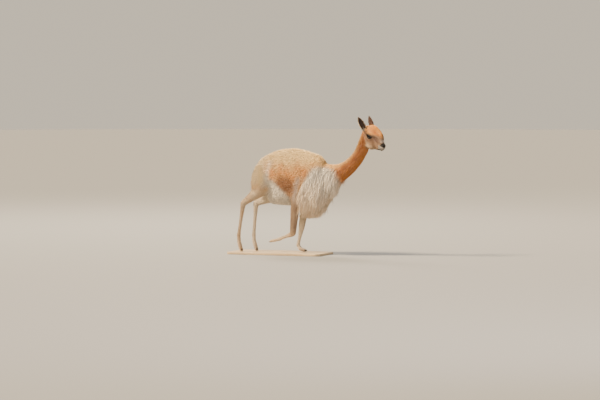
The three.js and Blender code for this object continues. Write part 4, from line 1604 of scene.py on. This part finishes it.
@dataclass
class Coat:
    """Makes coat pieces from roots and the paths of their hairs.

    The waves of a short coat are a share of its direction or lift, and how long they are in millimetres.
    """

    scalp: Scalp
    most_triangles: int = 190_000
    broad_swing: Pair = (0.22, 46)
    fine_swing: Pair = (0.12, 17)
    lift_wave: Pair = (0.3, 24)
    length_spread: Pair = (0.75, 1.2)
    lift_spread: Pair = (0.7, 1.25)
    width_spread: Pair = (0.75, 1.25)
    bend: float = 0.12
    rise: Pair = (1.75, 0.85)
    gather: float = 0.42
    root_spacing_mm: float = 2.4
    tufts_to_clump: int = 9
    patch_width: float = 0.0015
    patch_length: float = 0.003

    def short(self, roots: Roots, tuft: Tuft, seed: int, clump_mm: float, stray: float = 0.16) -> Array:
        """Paths of short tufts that rise from the skin and lie along it.

        Args:
            roots: Where they grow.
            tuft: Their shape.
            seed: Varies them.
            clump_mm: How far apart the clumps are that tips gather to.
            stray: How far a tuft's direction strays.

        Returns:
            Points, one row of the tuft's steps for each root.
        """
        random = np.random.default_rng(seed)
        count = len(roots.co)
        side = np.cross(roots.normal, roots.lie)
        broad, fine, wave = (
            share * ripple(roots.co, size_mm, seed + i)
            for i, (share, size_mm) in enumerate((self.broad_swing, self.fine_swing, self.lift_wave))
        )
        swing = stray * random.normal(size=count) + broad + fine
        lie = unit(roots.lie + side * swing[:, None])
        length = roots.sized("length") * MM * random.uniform(*self.length_spread, count)
        lift = roots.sized("lift") * random.uniform(*self.lift_spread, count)
        lift *= 1 + wave
        steps = tuft.steps()[None]
        ahead = (length[:, None] * steps)[:, :, None] * lie[:, None]
        rise = (length * lift)[:, None] * steps * (self.rise[0] - self.rise[1] * steps)
        bend = (length * self.bend * random.normal(size=count))[:, None] * steps**2
        path = roots.co[:, None] + ahead + rise[:, :, None] * roots.normal[:, None]
        path += bend[:, :, None] * side[:, None]
        tree = KDTree(count)
        for i in range(0, count, max(1, round((clump_mm / self.root_spacing_mm) ** 2 / self.tufts_to_clump))):
            tree.insert(path[i, -1], i)
        tree.balance()
        leader = np.array([tree.find(point)[1] for point in path[:, -1]])
        pull = (path[leader, -1] - path[:, -1])[:, None] * (self.gather * steps**2)[:, :, None]
        return path + pull

    def grow(
        self, name: str, roots: Roots, paths: Array, tuft: Tuft, finish: Material, slot: str,
        seed: int, width: Array | None = None, thickness: Array | None = None,
    ) -> None:
        """Builds tufts along paths as closed meshes, in pieces below the size limit.

        Args:
            name: The pieces' name.
            roots: Where the tufts grow.
            paths: A row of points for each root.
            tuft: The shape repeated.
            finish: The hair's material.
            slot: The record's slot; not used.
            seed: Varies colour and width.
            width: Full widths in metres, from the regions' sizes where left out.
            thickness: Full thicknesses in metres, likewise.
        """
        random = np.random.default_rng(seed)
        width = (roots.sized("width") * MM if width is None else width) * random.uniform(
            *self.width_spread, len(roots.co)
        )
        thickness = roots.sized("thickness") * MM if thickness is None else thickness
        at = np.searchsorted(tuft.steps(), np.round(tuft.along, 5))
        flat_share, thick_share = ((tuft.ring[:, i] * tuft.width())[None, :, None] for i in (0, 1))
        per_piece = self.most_triangles // len(tuft.faces)
        for number, start in enumerate(range(0, len(roots.co), per_piece)):
            chosen = slice(start, start + per_piece)
            path, normal = paths[chosen], roots.normal[chosen]
            ahead = unit(np.gradient(path, axis=1))
            across = unit(np.cross(ahead, normal[:, None]))
            upper = np.cross(across, ahead)
            flat = flat_share * across[:, at] * (width[chosen] / 2)[:, None, None]
            thick = thick_share * upper[:, at] * (thickness[chosen] / 2)[:, None, None]
            co = path[:, at] + flat + thick
            shade = random.uniform(0, 1, len(co))
            colour, uv = roots.colour[chosen], roots.uv[chosen]
            self.piece(f"{name}_{number + 1}", co, tuft, colour, uv, shade, finish)

    def piece(
        self, name: str, co: Array, tuft: Tuft, colour: Array, uv: Array, shade: Array,
        finish: Material,
    ) -> None:
        """Writes one joined mesh of tufts.

        Args:
            name: The piece's name.
            co: Vertices, one block for each tuft.
            tuft: The shape repeated.
            colour: One colour a tuft.
            uv: Each root's place on the skin's unwrap.
            shade: How light each tuft is, from 0 to 1.
            finish: The hair's material.
        """
        count, corners = co.shape[:2]
        mesh = bpy.data.meshes.new(name)
        mesh.vertices.add(count * corners)
        mesh.vertices.foreach_set("co", co.ravel().astype(np.float32))
        faces = (tuft.faces[None] + (np.arange(count) * corners)[:, None, None]).reshape(-1, 3)
        mesh.loops.add(faces.size)
        mesh.loops.foreach_set("vertex_index", faces.ravel().astype(np.int32))
        mesh.polygons.add(len(faces))
        mesh.polygons.foreach_set("loop_start", np.arange(0, faces.size, 3, dtype=np.int32))
        mesh.update(calc_edges=True)
        patch = np.column_stack([self.patch_width * tuft.ring[:, 0], self.patch_length * (tuft.along - 0.5)])
        spread = (uv[:, None] + patch[None]).reshape(-1, 2)[faces.ravel()]
        mesh.uv_layers.new(name="OFBake").data.foreach_set("uv", spread.ravel().astype(np.float32))
        along = np.tile(tuft.along, count)
        paint(mesh, np.repeat(colour, corners, axis=0), along=along, strand=np.repeat(shade, corners))
        mesh.shade_smooth()
        mesh.materials.append(finish)
        made = new_object(name, mesh)
        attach(made, "root")
        LOG.info("%s: %d tufts, %d triangles", name, count, len(faces))


@dataclass(frozen=True)
class LockLayer:
    """One layer of the long hair: locks for each square metre, and sizes in millimetres."""

    density: float
    shortest: float
    longest: float
    stand: float
    width: float


@dataclass
class BreastHair:
    """The long white hair of breast and shoulder: layers of fine locks that hang and stream back."""

    coat: Coat
    fall: Triple = (-0.24, 0.0, -1.0)
    layers: tuple[LockLayer, ...] = (
        LockLayer(density=17000, shortest=75, longest=130, stand=9, width=7),
        LockLayer(density=9000, shortest=100, longest=165, stand=20, width=6),
        LockLayer(density=5200, shortest=90, longest=150, stand=33, width=5),
    )
    cuts: tuple[float, ...] = (0.1, 0.26, 0.45, 0.64, 0.83)
    thickness_share: float = 0.3
    quick_share: float = 0.3
    drift: float = 0.16
    stray: float = 0.07
    wave: float = 0.16
    turns: float = 2.6
    shin_mm: float = 285
    front_rise_mm: float = 160

    def hanging(self, roots: Roots, steps: Array, length: Array, stand: Array, seed: int) -> Array:
        """Paths of long hair that leaves the skin, bends over and hangs clear of the body.

        Args:
            roots: Where the hair grows.
            steps: Shares along the hair.
            length: Lengths in metres.
            stand: How far from the skin the hair settles, in metres.
            seed: Varies the hair.

        Returns:
            Points, one row of steps for each root.
        """
        random = np.random.default_rng(seed)
        count = len(roots.co)
        drift = np.column_stack([ripple(roots.co, 60, seed + i) for i in range(3)]) * self.drift
        down = unit(np.array(self.fall) + (drift + random.normal(size=(count, 3)) * self.stray))
        phase = 3 * ripple(roots.co, 40, seed + 5) + random.uniform(-0.8, 0.8, count)
        sway = unit(roots.normal + TINY)
        sideways = np.column_stack([-sway[:, 1], sway[:, 0], 0 * phase])
        points = [roots.co]
        for last, share in zip(steps[:-1], steps[1:]):
            wave = np.sin(self.turns * share * math.pi + phase)[:, None] * self.wave * sideways
            leaving = roots.normal * max(0.0, 0.9 - 3.2 * last) + roots.lie * max(0.0, 0.5 - last)
            ahead = points[-1] + unit(leaving + down + wave) * ((share - last) * length)[:, None]
            points.append(self.coat.scalp.clear_of_skin(ahead, stand * min(1.0, 2.2 * share)))
        return np.stack(points, axis=1)

    def zone(self) -> Array:
        """Where on the skin the long hair grows, a share for each triangle."""
        scalp = self.coat.scalp
        x, _, z = in_animal(scalp.middle).T
        breast, upper_leg, neck = (
            scalp.weights[:, region.value] for region in (Region.BREAST, Region.UPPER_LEG, Region.NECK)
        )
        share = breast + 0.6 * upper_leg * (x > 150) + neck * ease(472, 442, x)
        behind = shoulder_edge(z, 0.82, 128, 300)
        return ease(-6, 22, x - behind) * ease(700, 640, z) * (share > 0.4)

    def grow(self, finish: Material) -> None:
        """Grows the layers, the longest lowest, shortest toward the neck and over the front of the legs."""
        zone, locks = self.zone(), Tuft(self.cuts)
        amount = 1.0
        for number, layer in enumerate(self.layers):
            density = zone * layer.density * amount + LEAST_DENSITY
            roots = self.coat.scalp.roots(density, Seed.LOCK_ROOTS + number)
            random = np.random.default_rng(Seed.LOCK_LENGTHS + number)
            count = len(roots.co)
            ahead, _, height = in_animal(roots.co).T
            low = ease(690, 560, height)
            length = (layer.shortest + (layer.longest - layer.shortest) * low) * MM
            length *= random.uniform(0.75, 1.15, count)
            length *= 1 - 0.3 * ease(250, 350, ahead) * ease(520, 430, height)
            length *= 1 - 0.88 * ease(412, 446, ahead)
            stand = layer.stand * MM * random.uniform(0.4, 1.2, count) * (0.35 + 0.65 * low)
            paths = self.hanging(roots, locks.steps(), length, stand, Seed.LOCK_PATHS + number)
            above = self.shin_mm + self.front_rise_mm * ease(270, 350, ahead)[:, None]
            floor = ANIMAL_ORIGIN[2] + above * MM
            paths[:, :, 2] = np.maximum(paths[:, :, 2], floor + (paths[:, :, 2] - floor) * 0.25)
            # Painted shade on the lower locks, darker the lower they hang.
            lower_shade = 0.62 * ease(680, 440, height + 30 * random.normal(size=count))
            whitened = 0.85 - 0.8 * ease(408, 444, ahead)
            white = Markings.laid(COLOURS["white"][None], ("bib_shade", lower_shade))
            roots.colour[:] = mix(roots.colour, white, whitened)
            wide = np.full(count, layer.width * MM)
            self.coat.grow(
                f"breast_hair_layer{number + 1}", roots, paths, locks, finish, "breast_hair",
                Seed.LOCK_SHADES + number, wide, wide * self.thickness_share,
            )


@dataclass(frozen=True)
class Ear:
    """One ear: a cupped leaf on the side of the crown, with painted shade inside the cup, furred behind and
    along its rims.

    Places are in the head's frame for the left ear, sizes in millimetres, and densities for a square metre.
    """

    lean_right: Triple = (-1.33, 0.42, 1)
    lean_left: Triple = (-1.5, 0.36, 1)
    root: Triple = (-70, 44, 17)
    opening_right: Triple = (0.3, 0.9, 0.3)
    opening_left: Triple = (-0.15, 0.95, 0.1)
    length: float = 114
    width: float = 21.5
    depth: float = 12
    wall: float = 2.4
    grid: tuple[int, int] = (36, 48)
    wrap: float = math.radians(112)
    unwrap_at_tip: float = 0.35
    floor: Pair = (0.9, 0.55)
    ridge: Triple = (3.2, 0.1, 0.16)
    tip_bend: float = 4
    leaf: tuple[Triple, ...] = (
        (-0.14, 0.6, 0.9), (0.1, 0.86, 1), (0.36, 1, 0.9), (0.62, 0.94, 0.7), (0.84, 0.64, 0.5),
        (0.95, 0.34, 0.3), (1.0, 0.08, 0.12),
    )
    fur_density: float = 420_000
    rim_density: float = 260_000
    hair_density: float = 140_000
    quick_share: float = 0.35
    clump: float = 9
    hair_stray: float = 0.34
    hair_stretch: float = 1.7

    def leaf_at(self, share: Array) -> Array:
        """The share of the full width and depth of the cup at shares of the ear's length."""
        table = np.array(self.leaf)
        return np.column_stack([np.interp(share, table[:, 0], table[:, i]) for i in (1, 2)])

    def axes(self, side: int) -> tuple[Array, Array, Array, Array]:
        """The ear's root and its directions along, across and out of the cup, in the scene."""
        mirror = np.array([1, side, 1])
        lean = np.array(self.lean_left if side > 0 else self.lean_right)
        facing_out = np.array(self.opening_left if side > 0 else self.opening_right)
        root, tip, facing = (
            from_head(((np.array(self.root) + move) * mirror)[None])[0] for move in (0, lean, facing_out)
        )
        along, opening = unit((tip - root)[None])[0], (facing - root) / MM
        opening = unit((opening - along * opening.dot(along))[None])[0]
        return root, along, np.cross(along, opening), opening

    def cup(self, side: int) -> tuple[Object, Array, Array]:
        """The leaf of the ear, bent round to a cup and given its thickness.

        Args:
            side: 1 on the animal's left, -1 on its right.

        Returns:
            The ear, and for each vertex its share along the ear and its place round the cup from -1 to 1.
        """
        root, along, across, opening = self.axes(side)
        bm = bmesh.new()
        bmesh.ops.create_grid(bm, x_segments=self.grid[0], y_segments=self.grid[1], size=1)
        flat = np.array([v.co for v in bm.verts])
        low, high = self.leaf[0][0], self.leaf[-1][0]
        round_cup, share = flat[:, 0], low + (high - low) * (flat[:, 1] + 1) / 2
        angle = round_cup * self.wrap * (1 - self.unwrap_at_tip * ease(0.3, 1.0, share))
        wide, deep = self.leaf_at(share).T
        curl = 1 + 0.05 * np.sin(share * 21 + round_cup * 2)
        sideways = np.sin(angle) * self.width * wide * curl
        outward = (-np.cos(angle) * self.floor[0] + self.floor[1]) * self.depth * deep
        height, aside, spread = self.ridge
        outward += height * hump(round_cup - aside * side, spread) * ease(0.7, 0.2, share) * deep
        outward += self.tip_bend * ease(0.55, 1.0, share) ** 2
        lengthways = share * self.length * (1 - 0.05 * round_cup**2 * share)
        moved = lengthways[:, None] * along + sideways[:, None] * across + outward[:, None] * opening
        for vert, point in zip(bm.verts, root + moved * MM):
            vert.co = point
        inner = len(bm.verts)
        made = object_from(f"ear_{left_or_right(side)}_skin", bm)
        shell = made.modifiers.new("thickness", "SOLIDIFY")
        shell.thickness = self.wall * MM
        shell.offset = 0
        shell.use_rim = True
        made.data = baked(made)
        made.modifiers.clear()
        bm = bmesh.new()
        bm.from_mesh(made.data)
        relax(bm, bm.verts, 0.3)
        bmesh.ops.recalc_face_normals(bm, faces=bm.faces)
        bm.to_mesh(made.data)
        bm.free()
        made.data.shade_smooth()
        repeats = len(made.data.vertices) // inner
        return made, np.tile(share, repeats), np.tile(round_cup, repeats)

    @staticmethod
    def colours(share: Array, aft: Array, rear: Array, inside: Array) -> Array:
        """The ear's colours.

        Args:
            share: How far along the ear each vertex is.
            aft: Its place across the cup, from -1 at the front rim to 1 at the rear.
            rear: How much it counts as rear, from 0 to 1.
            inside: Whether it is in the cup.

        Returns:
            Linear RGB rows.
        """
        edge = np.abs(aft)
        rim = ease(0.8, 1.0, edge) * np.where(aft > 0, 1.0, 0.25) * ease(0.0, 0.25, share)
        # Painted shade inside the cup, darkest away from the rims.
        return Markings.laid(
            np.tile(COLOURS["ear_back"], (len(share), 1)),
            ("ear_inside", inside * ease(1.0, 0.8, edge)),
            ("ear_rim", rim),
            ("ear_back", inside * ease(0.22, 0.02, share) * (1 - rear)),
            ("ear_hair", inside * ease(0.2, 0.0, share) * 0.5 * rear),
            ("ear_tip", ease(0.72, 0.98, share) * 0.6),
        )

    def grow(self, side: int, hide: Material, hair: Material) -> None:
        """Builds, colours and furs one ear.

        Args:
            side: 1 on the animal's left, -1 on its right.
            hide: The skin's material.
            hair: The fur's material.
        """
        label = left_or_right(side)
        made, share, round_cup = self.cup(side)
        root, along, across, opening = self.axes(side)
        co, normal = coordinates(made.data), vertex_normals(made.data)
        _, deep = self.leaf_at(share).T
        up, out = share * self.length, self.floor[1] * self.depth * deep
        centre = root + (up[:, None] * along + out[:, None] * opening) * MM
        inside = ((centre - co) * normal).sum(1) > 0
        edge, rear = np.abs(round_cup), ease(-0.2, 0.4, round_cup * side)
        colour = self.colours(share, round_cup * side, rear, inside)
        paint(made.data, colour, bare=0.2 * inside)
        uv = unwrap(made)
        made.data.materials.append(hide)
        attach(made, "root")
        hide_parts(f"ear_{label}")
        weights = np.zeros((len(co), len(Region)))
        weights[:, Region.HEAD.value] = 1
        lie = unit(along_surface(along + 0.35 * across * round_cup[:, None], normal))
        scalp = Scalp(made, SkinMap(co, normal, weights, lie, np.zeros(len(co), int)), colour, uv)
        fur = Coat(scalp)
        hollow, sharing, rim, rearmost = (
            value[scalp.corners].mean(1) for value in (inside, share, edge, rear)
        )
        amount = 1.0
        density = ((1 - hollow) * self.fur_density + rim**8 * self.rim_density) * amount + LEAST_DENSITY
        outside = scalp.roots(density, Seed.EAR_ROOTS + side)
        tuft = Tuft((0.35,))
        paths = fur.short(outside, tuft, Seed.EAR_PATHS + side, self.clump)
        fur.grow(f"ear_{label}_fur", outside, paths, tuft, hair, "ear_hair", Seed.EAR_SHADES + side)
        density = hollow * ease(0.26, 0.0, sharing) * (0.15 + 0.85 * rearmost) * self.hair_density * amount
        within = scalp.roots(density + LEAST_DENSITY, Seed.EAR_HAIR_ROOTS + side)
        tuft = Tuft((0.3, 0.6))
        paths = fur.short(within, tuft, Seed.EAR_HAIR_PATHS + side, self.clump, self.hair_stray)
        paths = within.co[:, None] + (paths - within.co[:, None]) * self.hair_stretch
        random = np.random.default_rng(Seed.EAR_HAIR_COLOURS + side)
        pale = random.uniform(0, 0.9, len(within.co)) ** 1.6
        within.colour[:] = mix(within.colour, COLOURS["ear_hair"][None], pale)
        name = f"ear_{label}_inner_hair"
        fur.grow(name, within, paths, tuft, hair, "ear_hair", Seed.EAR_HAIR_SHADES + side)


@dataclass(frozen=True)
class EyeFinish:
    """A dark wet eye: nearly black brown under a clear, mirror-like cornea, with a wide level pupil."""

    name: str = "wet_brown_eye"
    roughness: float = 0.04
    cornea: float = 0.35
    cornea_roughness: float = 0.02
    gloss: float = 0.2

    def build(self) -> Material:
        """Makes the material; its pattern is the marking on the ball."""
        material, tree, shader, _ = blank(self.name)
        marking = add(tree, "ShaderNodeAttribute", {"attribute_name": "Markings"})
        put(shader, Base_Color=marking.outputs["Color"], Roughness=self.roughness, Coat_Weight=self.cornea)
        put(shader, Coat_Roughness=self.cornea_roughness, Specular_IOR_Level=self.gloss)
        return material


@dataclass
class Eyes:
    """The two eyeballs with their lashes. Sizes are in millimetres; arcs run round the lids in half turns."""

    coat: Coat
    ball_share: float = 0.985
    pupil: Pair = (9.5, 5.2)
    iris_rim: Pair = (12.5, 15.5)
    lashes_each: int = 320
    quick_lashes: int = 120
    upper_share: float = 0.72
    upper_arc: Pair = (0.12, 0.94)
    lower_arc: Pair = (1.15, 1.85)
    upper_length: Pair = (7, 12)
    lower_length: Pair = (3, 5)
    lid_share: float = 1.02
    lash_width: float = 0.75

    def ball(self, side: int, finish: Material) -> None:
        """One eyeball, painted as iris and pupil about the middle of its outer face."""
        bm = bmesh.new()
        bmesh.ops.create_uvsphere(bm, u_segments=64, v_segments=48, radius=EYE.radius * self.ball_share)
        local = np.array([v.co for v in bm.verts])
        centre = np.array([EYE.forward, EYE.side * side, EYE.up])
        for vert, point in zip(bm.verts, from_head(centre + local)):
            vert.co = point
        made = object_from(f"eyeball_{left_or_right(side)}", bm)
        _, ahead, above = EYE.around(local + (EYE.forward, 0, EYE.up))
        pupil = ease(1.12, 0.92, np.hypot(ahead / self.pupil[0], above / self.pupil[1]))
        rim = 0.7 * ease(*self.iris_rim, np.hypot(ahead, above))
        iris = np.tile(COLOURS["iris"], (len(local), 1))
        paint(made.data, Markings.laid(iris, ("pupil", pupil), ("pupil", rim)))
        made.data.materials.append(finish)
        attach(made, "root")
        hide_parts(f"eye_{left_or_right(side)}")

    def lashes(self, side: int, finish: Material) -> None:
        """Long dark lashes along the upper lid and a few short ones below."""
        random = np.random.default_rng(Seed.LASHES + side)
        count = self.lashes_each
        upper = random.uniform(size=count) < self.upper_share
        above_arc, below_arc = (random.uniform(*arc, count) for arc in (self.upper_arc, self.lower_arc))
        angle = np.where(upper, above_arc, below_arc) * math.pi
        ahead = np.cos(angle) * EYE.half_length * self.lid_share
        above = np.sin(angle) * EYE.half_height * self.lid_share
        f = EYE.forward + ahead * math.cos(EYE.slant) - above * math.sin(EYE.slant)
        u = EYE.up + above * math.cos(EYE.slant) + ahead * math.sin(EYE.slant)
        s = EYE.side + np.sqrt(np.maximum(EYE.radius**2 - ahead**2 - above**2, 9)) + EYE.lid / 2
        roots_co = from_head(np.column_stack([f, s * side, u]))
        forward = 0.35 * np.cos(angle) + 0.15 * random.normal(size=count)
        upward = np.where(upper, -0.12, -0.3) + 0.12 * random.normal(size=count)
        outward = np.full(count, 0.8 * side)
        out = unit(np.column_stack([forward, outward, upward]) @ HEAD_TURN.T)
        lift = np.tile(HEAD_TURN[:, 2], (count, 1))
        long, short = (random.uniform(*span, count) for span in (self.upper_length, self.lower_length))
        length = np.where(upper, long, short) * MM
        tuft = Tuft((0.3, 0.65))
        steps = tuft.steps()[None]
        droop = (length * np.where(upper, -0.3, 0.0))[:, None] * (steps - steps**2 * 1.6)
        path = roots_co[:, None] + (length[:, None] * steps)[:, :, None] * out[:, None]
        path += droop[:, :, None] * lift[:, None]
        colour = np.tile(COLOURS["pupil"], (count, 1))
        weights = np.zeros((count, len(Region)))
        roots = Roots(roots_co, lift, out, colour, np.full((count, 2), 0.5), weights)
        width = np.full(count, self.lash_width * MM)
        name = f"lashes_{left_or_right(side)}"
        self.coat.grow(name, roots, path, tuft, finish, "face_hair", Seed.LASH_SHADES + side, width, width)

    def build(self, hair: Material) -> None:
        """Makes both eyes."""
        finish = EyeFinish().build()
        for side in (-1, 1):
            self.ball(side, finish)
            self.lashes(side, hair)


@dataclass(frozen=True)
class HornFinish:
    """Worn dark horn: a soft gloss, with lighter grain where it has been scuffed."""

    name: str = "dark_horn"
    dark: str = "#1E1713"
    light: str = "#4A3A2E"
    grain_mm: float = 1.4
    relief_mm: float = 0.4
    relief_strength: float = 0.4
    roughness: float = 0.38

    def build(self) -> Material:
        """Makes the material."""
        material, tree, shader, at = blank(self.name)
        grain = add(tree, "ShaderNodeTexNoise", Vector=at, Scale=per_metre(self.grain_mm), Detail=3.0)
        height = grain.outputs["Fac"]
        tone = blend(tree, height, self.dark, self.light)
        relief = add(
            tree, "ShaderNodeBump", Strength=self.relief_strength, Distance=self.relief_mm * MM, Height=height
        )
        put(shader, Base_Color=tone, Normal=relief.outputs[0], Roughness=self.roughness)
        return material


@dataclass(frozen=True)
class WoodFinish:
    """Oiled pale oak for the base: long grain, fine pores, a satin coat of oil."""

    name: str = "oiled_pale_oak"
    dark: str = "#A88B66"
    light: str = "#D9C29C"
    stretch: float = 0.06
    ring_mm: float = 26.0
    pore_mm: float = 1.8
    contrast: Pair = (0.1, 0.42)
    relief_mm: float = 0.3
    relief_strength: float = 0.25
    roughness: float = 0.42

    def build(self) -> Material:
        """Makes the material, its grain drawn out along the base."""
        material, tree, shader, at = blank(self.name)
        drawn = add(tree, "ShaderNodeMapping", Vector=at, Scale=(self.stretch, 1.0, 1.0)).outputs[0]
        ring = add(tree, "ShaderNodeTexNoise", Vector=drawn, Scale=per_metre(self.ring_mm), Detail=5.0)
        pore = add(tree, "ShaderNodeTexNoise", Vector=drawn, Scale=per_metre(self.pore_mm), Detail=2.0)
        depth = pore.outputs["Fac"]
        both = add(tree, "ShaderNodeMath", {"operation": "MULTIPLY"}, _0=ring.outputs["Fac"], _1=depth)
        low, high = self.contrast
        spread = add(tree, "ShaderNodeMapRange", Value=both.outputs[0], From_Min=low, From_Max=high)
        tone = blend(tree, spread.outputs[0], self.dark, self.light)
        relief = add(
            tree, "ShaderNodeBump", Strength=self.relief_strength, Distance=self.relief_mm * MM, Height=depth
        )
        put(shader, Base_Color=tone, Normal=relief.outputs[0], Roughness=self.roughness)
        return material


def dress_solids() -> None:
    """Gives the nails and the base, which stay as they are in the solids, their materials."""
    horn, wood = HornFinish().build(), WoodFinish().build()
    for made in list(bpy.data.objects):
        nail = "_nail_" in made.name
        if made.type == "MESH" and (nail or made.name.startswith("stand")):
            made.data.materials.clear()
            made.data.materials.append(horn if nail else wood)


@dataclass(frozen=True)
class Lamp:
    """A light of the studio: metres, and for a sun the angle it fills in radians and its strength."""

    name: str
    kind: str
    at: Triple
    size: float
    energy: float
    colour: str


@dataclass(frozen=True)
class FloorFinish:
    """Pale painted plaster: matt, with the faintest unevenness of tone."""

    name: str = "painted_plaster_floor"
    grain_mm: float = 25.0
    tone: Pair = (0.3, 0.32)
    roughness: float = 0.85

    def build(self) -> Material:
        """Makes the material."""
        material, tree, shader, at = blank(self.name)
        grain = add(tree, "ShaderNodeTexNoise", Vector=at, Scale=per_metre(self.grain_mm), Detail=4.0)
        low, high = self.tone
        tone = add(tree, "ShaderNodeMapRange", Value=grain.outputs["Fac"], To_Min=low, To_Max=high)
        put(shader, Base_Color=tone.outputs[0], Roughness=self.roughness)
        return material


@dataclass(frozen=True)
class Studio:
    """The plain pale floor, the soft lights and the long-lens camera at the photograph's angle, in metres."""

    azimuth: float = math.radians(22)
    elevation: float = math.radians(3)
    lens_mm: float = 225
    sensor_mm: float = 36
    distance: float = 30
    aim_right: float = 0.080
    aim_up: float = 0.416
    lit_middle: Triple = (0.1, 0.0, 0.55)
    lamps: tuple[Lamp, ...] = (
        Lamp("key", "SUN", (-4.2, -2.7, 5.4), math.radians(14), 10.5, "#FFE4BA"),
        Lamp("fill", "AREA", (6.0, -7.0, 4.5), 5.0, 280, "#F4F2F4"),
        Lamp("rim", "AREA", (-3.2, 4.2, 5.6), 2.6, 560, "#FFEFD6"),
    )
    horizon: str = "#F5E7CF"
    overhead: str = "#B4B8BE"
    fade: Pair = (0.12, 0.7)
    room_strength: float = 0.85
    floor_radius: float = 30

    def lights(self) -> None:
        """A soft warm key high on the left, a cool fill on the right and a rim from behind."""
        for lamp in self.lamps:
            light = bpy.data.lights.new(lamp.name, lamp.kind)
            light.energy = lamp.energy
            light.color = linear(lamp.colour)[:3]
            setattr(light, "angle" if lamp.kind == "SUN" else "size", lamp.size)
            made = bpy.data.objects.new(lamp.name, light)
            made.location = lamp.at
            heading = Vector(self.lit_middle) - Vector(lamp.at)
            made.rotation_euler = heading.to_track_quat("-Z", "Y").to_euler()
            bpy.context.scene.collection.objects.link(made)

    def room(self) -> None:
        """A world that is palest at the horizon, where it meets the floor, and dimmer overhead."""
        world = bpy.data.worlds.new("room")
        world.use_nodes = True
        tree = world.node_tree
        heading = add(tree, "ShaderNodeTexCoord")
        split = add(tree, "ShaderNodeSeparateXYZ", Vector=heading.outputs["Generated"])
        low, high = self.fade
        fade = add(tree, "ShaderNodeMapRange", Value=split.outputs["Z"], From_Min=low, From_Max=high)
        tone = blend(tree, fade.outputs[0], self.horizon, self.overhead)
        put(tree.nodes["Background"], Color=tone, Strength=self.room_strength)
        bpy.context.scene.world = world

    def floor(self) -> None:
        """A wide pale floor under the base."""
        bm = bmesh.new()
        bmesh.ops.create_circle(bm, cap_ends=True, segments=64, radius=self.floor_radius)
        made = object_from("floor", bm, smooth=False)
        made.data.materials.append(FloorFinish().build())

    def camera(self) -> None:
        """The camera, aimed so that the animal stands where it does in the photograph."""
        data = bpy.data.cameras.new("camera")
        data.lens = self.lens_mm
        data.sensor_width = self.sensor_mm
        camera = bpy.data.objects.new("camera", data)
        a, e = self.azimuth, self.elevation
        right = np.array([math.cos(a), math.sin(a), 0])
        up = np.array([-math.sin(a) * math.sin(e), math.cos(a) * math.sin(e), math.cos(e)])
        back = np.array([math.sin(a) * math.cos(e), -math.cos(a) * math.cos(e), math.sin(e)])
        aim = ANIMAL_ORIGIN + right * self.aim_right + up * self.aim_up
        camera.location = Vector(aim + back * self.distance)
        camera.rotation_euler = Vector(-back).to_track_quat("-Z", "Y").to_euler()
        bpy.context.scene.collection.objects.link(camera)
        bpy.context.scene.camera = camera

    def build(self) -> None:
        """Sets up lights, room, floor and camera."""
        self.lights()
        self.room()
        self.floor()
        self.camera()


@dataclass
class Fleece:
    """The short coat of the whole skin. Its density covers the skin a given number of times with tufts."""

    cover: float = 1.9
    tuft_area: float = 0.5
    quick_share: float = 0.35
    cut: float = 0.35
    clump_mm: float = 16

    def grow(self, coat: Coat, finish: Material) -> None:
        """Grows the tufts, each region's as long, wide and dense as its coat is cut."""
        scalp = coat.scalp
        share, length, width = (blended_size(scalp.weights, name) for name in ("share", "length", "width"))
        amount = 1.0
        density = self.cover * share / (length * width * self.tuft_area * MM * MM) * amount
        tuft = Tuft((self.cut,))
        roots = scalp.roots(density, Seed.FLEECE_ROOTS)
        paths = coat.short(roots, tuft, Seed.FLEECE_PATHS, self.clump_mm)
        coat.grow("fleece", roots, paths, tuft, finish, "fleece", Seed.FLEECE_SHADES)


def dressed_skin() -> tuple[Scalp, Material]:
    """Builds, unwraps and paints the skin.

    Returns:
        The skin as a bed for hair, and its material.
    """
    skin = Skin()
    subject, known = skin.build()
    uv = unwrap(subject)
    colours = Markings(skin).colours(known.co, known.part)
    on_head = ease(0.35, 0.7, known.weights[:, Region.HEAD.value])
    colours = mix(Web(subject.data).smoothed(colours, 14), colours, on_head)
    paint(subject.data, colours, bare=np.zeros(len(colours)))
    hide = HideFinish().build()
    subject.data.materials.append(hide)
    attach(subject, "root")
    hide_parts(*FLESH_NODES)
    LOG.info("skin: %d vertices, %d faces", len(known.co), len(subject.data.polygons))
    return Scalp(subject, known, colours, uv), hide


def main() -> None:
    """Builds the studio, then the skin, its coat, ears and eyes, and dresses the nails and the base."""
    logging.basicConfig(level=logging.INFO, format="%(message)s")
    Studio().build()
    scalp, hide = dressed_skin()
    coat = Coat(scalp)
    wool, fur = HairFinish("wool_fleece").build(), HairFinish("short_fine_fur").build()
    Fleece().grow(coat, wool)
    BreastHair(coat).grow(wool)
    for side in (-1, 1):
        Ear().grow(side, hide, fur)
    Eyes(coat).build(fur)
    dress_solids()


if __name__ == "__main__":
    main()
